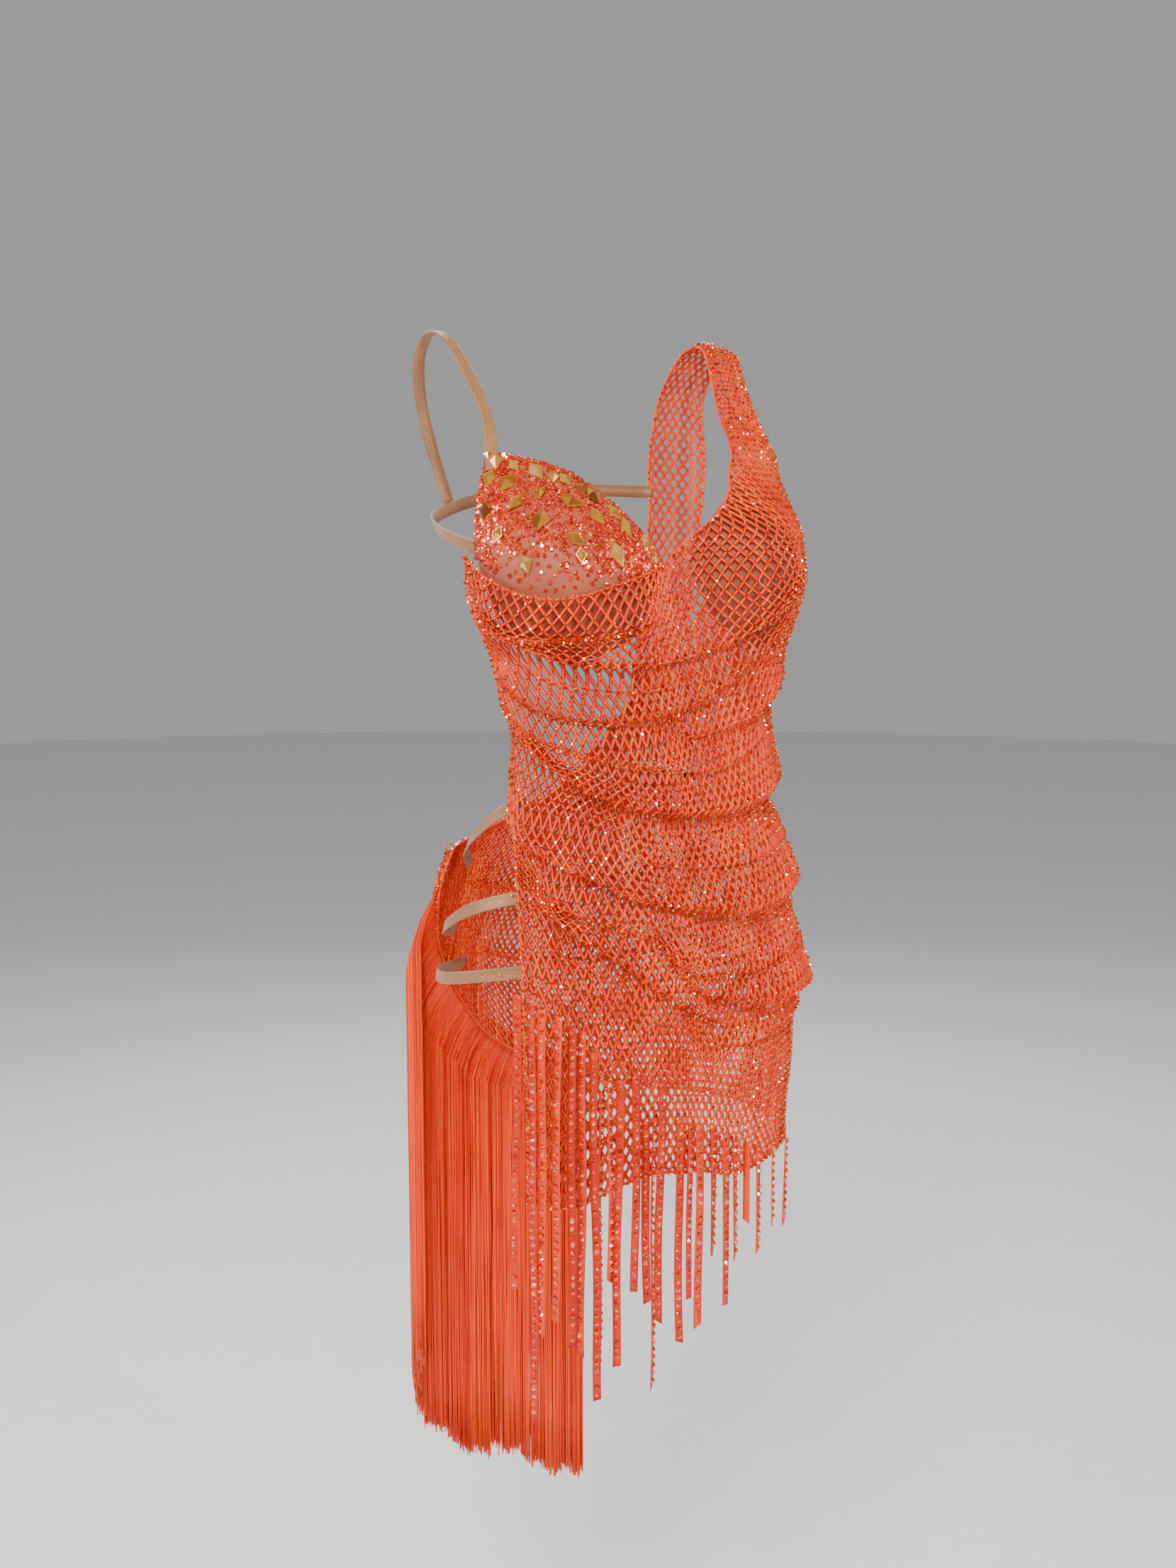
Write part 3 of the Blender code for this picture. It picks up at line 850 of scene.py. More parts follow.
@dataclass
class StoneSetter:
    """Sets flat-backed stones with the small tilts that make them glint unevenly."""

    size: float
    cut: Cut = Cut.SMALL
    spread: float = 0.10
    tilt: float = 0.20

    def __post_init__(self) -> None:
        """Models the stone once."""
        self.form = self.cut.form()

    def set(
        self, shape: Shape, places: Array, normals: Array, rng: np.random.Generator,
        missing: float = 0.0,
    ) -> None:
        """Adds a stone at each place.

        Args:
            shape: Where they go.
            places: Where their backs lie.
            normals: Outward directions.
            rng: Random source for tilt, turn, size and tone.
            missing: Share of places left bare.
        """
        kept = rng.random(len(places)) >= missing
        places, normals = places[kept], normals[kept]
        count = len(places)
        leaning = unit(normals) + rng.normal(0, self.tilt, (count, 3))
        frames = turned_frames(leaning, rng.random(count) * FULL_TURN)
        sizes = self.size * (1 + rng.normal(0, self.spread, count))
        set_copies(shape, self.form, places, frames, sizes, rng.beta(1.6, 1.8, count))

    def follow(
        self, shape: Shape, path: Array, normals: Array, rise: float, rng: np.random.Generator
    ) -> None:
        """Sets a line of stones along an edge, with a few left out.

        Args:
            shape: Where they go.
            path: The edge.
            normals: Outward directions along it.
            rise: How far out their backs lie.
            rng: Random source.
        """
        arc = arc_table(path)
        at = np.arange(0.002, arc[-1], EDGE_STONE_PITCH)
        spots, facing = read_at(at, arc, path, normals)
        self.set(shape, spots + facing * rise, facing, rng, EDGE_STONES_MISSING)


def edge_cord(
    shape: Shape, points: Array, normals: Array, size: float, sides: int = 5, tone: float = 0.5
) -> None:
    """Adds one cord along an edge.

    Args:
        shape: Where it goes.
        points: Its path, as (n, 3).
        normals: Outward directions along it.
        size: Its thickness.
        sides: Sides of its section.
        tone: Its tone.
    """
    add_tubes(shape, points[None], normals[None], size, size, sides, tones=np.array([tone]))


class DrapeRow(NamedTuple):
    """One draped row of the front: its levels from the free edge to the left seam."""

    t: float
    edge_angle: float
    edge: float
    right_45: float
    right_20: float
    left_5: float
    left_30: float
    left_55: float
    seam: float


class FigureSection(NamedTuple):
    """A section across the shoulder part whose ends lie on the figure."""

    u: float
    inner_angle: float
    inner_level: float
    outer_angle: float
    outer_level: float

    def lie(self, share: Array) -> tuple[Array, Array]:
        """Angles and levels at a share of the way across."""
        angle = blend(self.inner_angle, self.outer_angle, share)
        return angle, blend(self.inner_level, self.outer_level, share)


class StrapSection(NamedTuple):
    """A straight section across a shoulder strap."""

    u: float
    inner: tuple[float, float, float]
    outer: tuple[float, float, float]

    def points(self, share: Array, bow: float, lean: float) -> Array:
        """Points across the strap, which bows out between its edges.

        Args:
            share: Share of the way across.
            bow: How far it bows.
            lean: How much of the bow goes toward the wearer's back.

        Returns:
            The points.
        """
        flat = blend(np.array(self.inner), np.array(self.outer), share[..., None])
        return flat + np.array([0.1, lean, 0.7]) * (bow * 4 * share * (1 - share))[..., None]


@dataclass
class NetPanel:
    """What the net panels share: cords numbered across them and rows numbered down."""

    figure: Figure
    gauge: NetGauge = NetGauge()

    def cord_share(self, across: Array) -> Array:
        """Share of the way round of a cord number."""
        return np.interp(across, np.arange(self.cords), self.cord_shares)

    def inside(self, across: Array, down: Array) -> Array:
        """Every cord runs from top to bottom."""
        return (down >= 0) & (down <= self.rows) & (across >= 0)

    def weave_whole(
        self, net: Shape, stones: Shape, setter: StoneSetter, rng: np.random.Generator
    ) -> None:
        """Weaves every cord from top to bottom, with a stone on each knot but a few.

        Args:
            net: Where the cords go.
            stones: Where the stones go.
            setter: Sets the stones.
            rng: Random source.
        """
        rows = (0, self.rows)
        self.gauge.weave(net, self.surface, self.cords, rows, self.inside, rng)
        knots = self.gauge.knots(self.surface, self.cords, rows, self.inside)
        setter.set(stones, *knots, rng, 0.05)


@dataclass
class FrontDrape(NetPanel):
    """The net front: a swagged panel from the left shoulder to the hem."""

    neck_share: float = 9.0 / 22.0
    yoke_lift: float = 0.0062
    bow: float = 0.004
    turn_in_rows: int = 4
    strap_gather: float = 0.64
    overhang: float = 1.25
    edge_axis: tuple[float, float, float] = (-0.006, -0.07, 0.0)
    edge_size: float = 0.0022
    seam_size: float = 0.0030
    table: tuple[DrapeRow, ...] = (
        DrapeRow(0.00, -74.0, -0.164, -0.190, -0.181, -0.165, -0.162, -0.163, -0.176),
        DrapeRow(0.12, -78.0, -0.195, -0.224, -0.230, -0.224, -0.210, -0.202, -0.212),
        DrapeRow(0.26, -70.5, -0.240, -0.270, -0.275, -0.268, -0.255, -0.246, -0.254),
        DrapeRow(0.38, -71.5, -0.295, -0.314, -0.335, -0.340, -0.338, -0.328, -0.322),
        DrapeRow(0.46, -76.5, -0.330, -0.348, -0.370, -0.378, -0.377, -0.368, -0.358),
        DrapeRow(0.54, -70.5, -0.372, -0.388, -0.405, -0.415, -0.418, -0.410, -0.396),
        DrapeRow(0.68, -62.0, -0.435, -0.448, -0.468, -0.484, -0.492, -0.488, -0.476),
        DrapeRow(0.84, -58.0, -0.535, -0.546, -0.549, -0.556, -0.566, -0.562, -0.555),
        DrapeRow(1.00, -57.5, -0.641, -0.643, -0.625, -0.626, -0.638, -0.632, -0.630),
    )
    table_angles: tuple[float, ...] = (-45.0, -20.0, 5.0, 30.0, 55.0)
    folds: Folds = Folds(
        (-70.0, -45.0, -20.0, 5.0, 30.0, 60.0),
        (
            Fold(-0.196, -0.207, -0.206, -0.192, -0.180, -0.170, 0.006, 0.026, -72.0, 0.0),
            Fold(-0.195, -0.226, -0.232, -0.225, -0.205, -0.180, 0.013, 0.042, -78.0, 52.0),
            Fold(-0.246, -0.273, -0.274, -0.263, -0.236, -0.205, 0.010, 0.036, -72.0, 48.0),
            Fold(-0.290, -0.292, -0.294, -0.293, -0.283, -0.255, 0.007, 0.026, -10.0, 78.0),
            Fold(-0.276, -0.317, -0.336, -0.341, -0.339, -0.326, 0.014, 0.048, -76.0, 92.0),
            Fold(-0.355, -0.379, -0.402, -0.414, -0.418, -0.407, 0.013, 0.050, -80.0, 92.0),
            Fold(-0.395, -0.424, -0.462, -0.496, -0.522, -0.530, 0.010, 0.040, -62.0, 34.0),
            Fold(-0.430, -0.433, -0.438, -0.470, -0.489, -0.486, 0.014, 0.046, -18.0, 90.0),
            Fold(-0.430, -0.452, -0.486, -0.500, -0.520, -0.530, 0.004, 0.024, -58.0, -18.0),
            Fold(-0.222, -0.248, -0.252, -0.240, -0.220, -0.190, 0.005, 0.018, -66.0, 30.0),
            Fold(-0.262, -0.292, -0.306, -0.312, -0.306, -0.290, 0.005, 0.020, -70.0, 60.0),
            Fold(-0.320, -0.352, -0.372, -0.382, -0.384, -0.374, 0.006, 0.022, -40.0, 94.0),
            Fold(-0.380, -0.405, -0.432, -0.452, -0.462, -0.452, 0.006, 0.020, -64.0, 80.0),
            Fold(-0.470, -0.490, -0.508, -0.522, -0.530, -0.520, 0.004, 0.022, 0.0, 94.0),
        ),
    )
    lower: tuple[FigureSection, ...] = (
        FigureSection(0.24, 16.0, -0.140, 91.0, -0.148),
        FigureSection(0.36, 24.5, -0.122, 85.0, -0.130),
        FigureSection(0.50, 30.5, -0.103, 76.0, -0.110),
        FigureSection(0.62, 37.0, -0.086, 69.0, -0.092),
    )
    upper: tuple[StrapSection, ...] = (
        StrapSection(0.76, (0.087, -0.074, -0.058), (0.128, -0.068, -0.064)),
        StrapSection(0.88, (0.099, -0.043, -0.027), (0.134, -0.038, -0.032)),
        StrapSection(0.95, (0.107, -0.020, -0.006), (0.141, -0.017, -0.010)),
        StrapSection(1.00, (0.111, -0.0004, 0.000), (0.145, -0.0004, -0.004)),
    )

    def __post_init__(self) -> None:
        """Works out how cords and rows are spread, from the lengths of the surface."""
        shares, step = np.linspace(0.0, 1.0, SAMPLES), self.gauge.step
        hip = self.body(shares, np.full(SAMPLES, 0.70))
        self.cords, self.cord_shares = even_shares(hip, self.gauge.spacing)
        fall = self.body(np.full(SAMPLES, 0.46), shares)
        self.rows, self.row_shares = even_shares(fall, step, 1)
        rise = self.yoke(np.full(SAMPLES, 0.8), shares)
        self.yoke_rows, self.yoke_shares = even_shares(rise, step * 0.92, 1)
        self.heights, width = np.linspace(0.0, 1.0, 25), np.linspace(0.0, 1.0, 40)
        across = [arc_table(self.yoke(width, np.full(40, u)))[-1] for u in self.heights]
        self.yoke_width = np.array(across)

    def lie(self, s: Array, t: Array, drop: Array | float = 0.0) -> tuple[Array, Array, Array]:
        """How the panel lies on the figure below the bust row.

        Args:
            s: Share of the way from the free edge to the left seam.
            t: Share of the way down to the hem.
            drop: How far the point lies under the panel's face.

        Returns:
            Angles, levels and stand-offs.
        """
        edge_angle = column(self.table, "edge_angle", "t", t)
        angle = blend(edge_angle, SEAM_ANGLE, s)
        knots = [edge_angle, *self.table_angles, SEAM_ANGLE]
        levels = [column(self.table, name, "t", t) for name in DrapeRow._fields[2:]]
        level = spline(knots, levels, angle)
        roll = self.folds.stand_off(angle, level)
        lift = NET_LIFT + roll + self.ripple(angle, level) - drop
        return angle, level - self.overhang * roll, lift

    def body(self, s: Array, t: Array, drop: Array | float = 0.0) -> Array:
        """Points of the panel below the bust row, for the same shares as lie."""
        return self.figure.point(*self.lie(s, t, drop))

    @staticmethod
    def ripple(angle: Array, level: Array) -> Array:
        """Small uneven creases: gathers at the left seam and soft waves down to the hem."""
        gather = smoothstep(35.0, 80.0, angle) * smoothstep(-0.56, -0.46, level)
        gather = gather * (1 - smoothstep(-0.36, -0.30, level))
        crimp = np.sin(level * 420.0 + angle * 0.09) * np.sin(level * 163.0 + 1.3)
        wave = smoothstep(-0.50, -0.60, level) * np.sin(np.radians(angle * 7.0 + 40.0))
        drift = np.sin(np.radians(angle * 4.3) + level * 31.0) * np.sin(level * 57.0 - angle * 0.03)
        return 0.0016 * gather * crimp + 0.0016 * wave + 0.0009 * drift

    def yoke(self, w: Array, u: Array) -> Array:
        """Panel above the bust row: w runs from the neckline to the armhole, u up to the seam."""
        w, u = np.broadcast_arrays(w, u)
        lies = [self.lie(self.neck_share + w * (1 - self.neck_share), np.zeros(w.shape))]
        for row in self.lower:
            lies.append((*row.lie(w), np.full(w.shape, self.yoke_lift)))
        knots = [0.0] + [row.u for row in self.lower]
        close = self.figure.point(*(spline(knots, [lie[k] for lie in lies], u) for k in range(3)))
        points = [self.figure.point(*lie) for lie in lies]
        for row in self.upper:
            knots.append(row.u)
            points.append(row.points(w, self.bow, -0.7 * (1 - row.u)))
        free = smoothstep(0.40, 0.60, u)[..., None]
        return close * (1 - free) + spline(knots, points, u[..., None]) * free

    def yoke_place(self, across: Array, down: Array) -> tuple[Array, Array]:
        """(w, u) of a cord number and a row number above the bust row."""
        u = np.interp(-down, np.arange(self.yoke_rows + 1), self.yoke_shares)
        s = self.cord_share(across)
        from_armhole = (1 - s) / (1 - self.neck_share)
        width = np.interp(u, self.heights, self.yoke_width)
        gather = 1 - (1 - self.strap_gather) * smoothstep(0.3, 0.8, u)
        return 1 - from_armhole * gather * self.yoke_width[0] / width, u

    def surface(self, across: Array, down: Array) -> Array:
        """Place of a cord number and a row number anywhere on the panel."""
        s = self.cord_share(across)
        t = np.interp(np.abs(down), np.arange(self.rows + 1), self.row_shares)
        turned = smoothstep(0.0, 1.4, -down)
        place = self.body(s, t, 0.0022 * turned)
        above = (down < 0) & (s >= self.neck_share)
        w, u = self.yoke_place(across[above], down[above])
        place[above] = self.yoke(np.clip(w, 0.0, 1.0), u)
        return place

    def inside(self, across: Array, down: Array) -> Array:
        """Whether a cord number and a row number lie within the cut panel."""
        s = self.cord_share(across)
        w, _ = self.yoke_place(across, np.minimum(down, 0.0))
        cut = (w > 0.0) & (w < 1.0)
        turn_in = down >= -self.turn_in_rows
        above = np.where(s >= self.neck_share, cut, turn_in)
        return (down <= self.rows) & ((down >= 0) | above)

    def outside_only(self, across: Array, down: Array) -> Array:
        """Inside the panel and not in the turned-in edge."""
        worn = (down >= 0) | (self.cord_share(across) >= self.neck_share)
        return self.inside(across, down) & worn

    def edges(self) -> dict[str, Array]:
        """Paths of the finished edges."""
        n = 220
        share = np.linspace(0, 1, n)
        cowl = self.body(share * self.neck_share, np.zeros(n), -0.0006)
        neck = self.yoke(np.zeros(n), share)
        return {
            "neckline": np.concatenate([cowl, neck[2:]]),
            "armhole": self.yoke(np.ones(n), share),
            "free_edge": self.body(np.zeros(n), share),
            "hem": self.body(share, np.ones(n)),
            "side_seam": self.body(np.full(n, 0.998), share, -0.0008),
        }

    def edge_level(self, angle: Array) -> Array:
        """Level of the panel's upper edge at an angle of the right front."""
        share = np.linspace(0, 1, 200)
        edge = self.table[0]
        knots = [edge.edge_angle, *self.table_angles, SEAM_ANGLE]
        round_body = blend(edge.edge_angle, SEAM_ANGLE, share)
        return np.interp(angle, round_body, spline(knots, edge[2:], round_body))

    def build(
        self, ribbons: Sequence[bpy.types.Object], rng: np.random.Generator
    ) -> bpy.types.Object:
        """Weaves the panel, binds its edges and sets its stones.

        Args:
            ribbons: The ribbon fringe that is sewn to it; not used.
            rng: Random source.

        Returns:
            The net piece.
        """
        rows = (-self.yoke_rows, self.rows)
        net = Shape()
        self.gauge.weave(net, self.surface, self.cords, rows, self.inside, rng)
        piece = net.build("front_net")
        dress_up(piece, NET_CORD, "front_drape")
        edges = Shape()
        stones = Shape()
        setter = StoneSetter(NET_STONE_SIZE)
        for name, path in self.edges().items():
            normals = outward(path, self.edge_axis, 0.15)
            if name == "side_seam":
                edge_cord(edges, path, normals, self.seam_size)
                continue
            edge_cord(edges, path, normals, self.edge_size)
            setter.follow(stones, path, normals, 0.0009, rng)
        trim = dress_up(edges.build("front_net_edges"), NET_CORD)
        knots, normals = self.gauge.knots(self.surface, self.cords, rows, self.outside_only)
        setter.set(stones, knots, normals, rng, 0.04)
        gems = dress_up(stones.build("front_net_stones", False, rng), NET_STONE)
        self.cloth_area()
        return piece

    def cloth_area(self) -> float:
        """Area of the panel, folds included, in square metres."""
        s, t = np.meshgrid(np.linspace(0, 1, 120), np.linspace(0, 1, 240))
        return surface_area(self.body(s, t)) + surface_area(self.yoke(s, t))


def surface_area(grid: Array) -> float:
    """Area of a grid of points."""
    side, fall = np.diff(grid, axis=1)[:-1], np.diff(grid, axis=0)[:, :-1]
    return float(np.linalg.norm(np.cross(side, fall), axis=-1).sum())


# ---------------------------------------------------------------- back


class BackColumn(NamedTuple):
    """One column of the low back: where it lies, its top and its lower edge."""

    angle: float
    top: float
    bottom: float
    stand_off: float


@dataclass
class BackNet(NetPanel):
    """The low net back, from the left seam to the right hip."""

    overhang: float = 1.1
    edge_axis: tuple[float, float, float] = (-0.008, -0.08, 0.0)
    edge_size: float = 0.0024
    loops: int = 26
    columns: tuple[BackColumn, ...] = (
        BackColumn(95.25, -0.1765, -0.630, 0.000),
        BackColumn(120.0, -0.2400, -0.630, 0.000),
        BackColumn(150.0, -0.3040, -0.622, 0.000),
        BackColumn(180.0, -0.3450, -0.600, 0.001),
        BackColumn(210.0, -0.3740, -0.560, 0.003),
        BackColumn(230.0, -0.3870, -0.492, 0.006),
        BackColumn(246.0, -0.3930, -0.432, 0.008),
    )
    folds: Folds = Folds(
        (100.0, 125.0, 150.0, 180.0, 210.0, 240.0),
        (
            Fold(-0.330, -0.352, -0.362, -0.372, -0.380, -0.380, 0.006, 0.040, 100.0, 215.0),
            Fold(-0.405, -0.425, -0.438, -0.440, -0.432, -0.425, 0.008, 0.046, 98.0, 240.0),
            Fold(-0.480, -0.498, -0.508, -0.505, -0.490, -0.470, 0.007, 0.044, 98.0, 228.0),
        ),
    )

    def __post_init__(self) -> None:
        """Works out how cords and rows are spread."""
        shares = np.linspace(0.0, 1.0, SAMPLES)
        self.first, self.last = self.columns[0].angle, self.columns[-1].angle
        round_body = self.cloth(shares, np.full(SAMPLES, 0.6))
        self.cords, self.cord_shares = even_shares(round_body, self.gauge.spacing)
        self.rows, _ = even_shares(self.cloth(np.full(SAMPLES, 0.35), shares), self.gauge.step)

    def lift(self, angle: Array, level: Array) -> Array:
        """Stand-off of the cloth from the figure."""
        stand_off = column(self.columns, "stand_off", "angle", angle)
        return NET_LIFT + stand_off + self.folds.stand_off(angle, level)

    def level(self, angle: Array, t: Array) -> Array:
        """Level at a share of the way down."""
        top, bottom = (column(self.columns, name, "angle", angle) for name in ("top", "bottom"))
        return blend(top, bottom, t)

    def cloth(self, s: Array, t: Array) -> Array:
        """Place of a share round the body and a share down."""
        angle = blend(self.first, self.last, s)
        level = self.level(angle, t)
        wave = 0.0010 * np.sin(np.radians(angle * 5.0) + level * 37.0)
        wave = wave * np.sin(level * 61.0 + angle * 0.04)
        roll = self.folds.stand_off(angle, level)
        lift = self.lift(angle, level) + wave
        return self.figure.point(angle, level - self.overhang * roll, lift)

    def surface(self, across: Array, down: Array) -> Array:
        """Place of a cord number and a row number."""
        return self.cloth(self.cord_share(across), np.clip(down / self.rows, 0.0, 1.0))

    def build(self, strap: "BackStrap", fringe: "StrandFringe", rng: np.random.Generator) -> None:
        """Weaves the back, joins the strap to it, sets the stones and hangs the fringe.

        Args:
            strap: The strap over the left shoulder.
            fringe: The strand fringe on the lower edge.
            rng: Random source.
        """
        net, edges, stones = Shape(), Shape(), Shape()
        setter = StoneSetter(NET_STONE_SIZE)
        self.weave_whole(net, stones, setter, rng)
        share = np.linspace(0, 1, 200)
        none, whole = np.zeros(share.shape), np.ones(share.shape)
        for s, t in ((share, none), (share, whole), (whole, share)):
            path = self.cloth(s, t)
            normals = outward(path, self.edge_axis)
            edge_cord(edges, path, normals, self.edge_size)
            setter.follow(stones, path, normals, 0.0010, rng)
        self.corner(edges, stones, setter, rng)
        piece = dress_up(net.build("back_net"), NET_CORD, "back_panel")
        trim = dress_up(edges.build("back_net_edges"), NET_CORD)
        gems = dress_up(stones.build("back_net_stones", False, rng), NET_STONE)
        strap.build(rng)
        strands = fringe.build(self, rng)
        s, t = np.meshgrid(np.linspace(0, 1, 160), np.linspace(0, 1, 160))
        surface_area(self.cloth(s, t))

    def corner(
        self, edges: Shape, stones: Shape, setter: StoneSetter, rng: np.random.Generator
    ) -> None:
        """Gathers the last of the net into a small stoned rosette at the right hip corner.

        Args:
            edges: Where its loops go.
            stones: Where its stones go.
            setter: Sets the stones.
            rng: Random source.
        """
        angle, level = self.last - 0.6, self.columns[-1].top
        for k in range(self.loops):
            top = level - 0.001 - 0.036 * k / (self.loops - 1)
            turned = angle - rng.random() * 3.2
            base = self.figure.point(np.array(turned), np.array(top), np.array(0.0145))
            out = outward(base, HIP_AXIS)
            side = np.cross([0.0, 0.0, 1.0], out)
            turn = np.linspace(0, 2 * np.pi, 13)[:, None]
            size = 0.0034 + 0.0014 * rng.random()
            lean = rng.random() * 3.14
            plane = side * math.cos(lean) + np.array([0.0, 0.0, 1.0]) * math.sin(lean)
            loop = base + size * (np.cos(turn) * plane + 0.7 * np.sin(turn) * out)
            edge_cord(edges, loop, np.broadcast_to(out, loop.shape), 0.0016, 3, rng.random())
            spots = loop[rng.integers(0, 12, 3)]
            setter.set(stones, spots + out * 0.0006, np.broadcast_to(out, spots.shape), rng)


@dataclass
class BackStrap(NetPanel):
    """The net strap from the left shoulder seam down to the back."""

    cords: int = 13
    bow: float = 0.004
    lift: float = 0.0062
    upper: tuple[StrapSection, ...] = (
        StrapSection(0.00, (0.111, 0.0004, 0.000), (0.145, 0.0004, -0.004)),
        StrapSection(0.08, (0.109, 0.020, -0.008), (0.144, 0.017, -0.012)),
        StrapSection(0.22, (0.101, 0.038, -0.040), (0.138, 0.030, -0.044)),
    )
    lower: tuple[FigureSection, ...] = (
        FigureSection(0.42, 125.0, -0.090, 108.0, -0.096),
        FigureSection(0.62, 128.0, -0.140, 110.0, -0.144),
        FigureSection(0.82, 134.0, -0.212, 113.0, -0.190),
        FigureSection(1.00, 142.0, -0.2856, 118.0, -0.2345),
    )

    def __post_init__(self) -> None:
        """Works out how rows are spread."""
        fall = self.cloth(np.full(SAMPLES, 0.5), np.linspace(0.0, 1.0, SAMPLES))
        self.rows, self.row_shares = even_shares(fall, self.gauge.step, 1)

    def cloth(self, s: Array, v: Array) -> Array:
        """Place of a share from the inner to the outer edge and a share down."""
        s, v = np.broadcast_arrays(s, v)
        knots = [row.u for row in (*self.upper, *self.lower)]
        points = [row.points(s, self.bow, 0.7 * row.u) for row in self.upper]
        points += [self.figure.point(*row.lie(s), self.lift) for row in self.lower]
        return spline(knots, points, v[..., None])

    def surface(self, across: Array, down: Array) -> Array:
        """Place of a cord number and a row number."""
        v = np.interp(down, np.arange(self.rows + 1), self.row_shares)
        return self.cloth(np.clip(1.0 - across / (self.cords - 1), 0.0, 1.0), v)

    def build(self, rng: np.random.Generator) -> bpy.types.Object:
        """Weaves the strap and sets its stones.

        Args:
            rng: Random source.

        Returns:
            The strap.
        """
        net, stones = Shape(), Shape()
        setter = StoneSetter(NET_STONE_SIZE)
        self.weave_whole(net, stones, setter, rng)
        n = 90
        share = np.linspace(0, 1, n)
        for s in (0.0, 1.0):
            path = self.cloth(np.full(n, s), share)
            near = self.cloth(np.full(n, 0.5), share)
            along = np.gradient(path, axis=0)
            normals = unit(np.cross(along, near - path) * (1.0 if s == 0.0 else -1.0))
            edge_cord(net, path, normals, 0.0024)
            spots, facing = path[::2], normals[::2]
            setter.set(stones, spots + facing * 0.0010, facing, rng, EDGE_STONES_MISSING)
        piece = dress_up(net.build("back_strap_net"), NET_CORD, "back_strap")
        gems = dress_up(stones.build("back_strap_stones", False, rng), NET_STONE)
        s, v = np.meshgrid(np.linspace(0, 1, 30), np.linspace(0, 1, 120))
        surface_area(self.cloth(s, v))
        return piece


# ---------------------------------------------------------------- cups


class CupColumn(NamedTuple):
    """One column of the cup, from its upper to its lower edge."""

    s: float
    top_angle: float
    top_level: float
    low_angle: float
    low_level: float


class Crystal(NamedTuple):
    """A sew-on crystal: shares along and down the cup, its length in mm and its lean in degrees."""

    s: float
    t: float
    long_mm: float
    lean: float


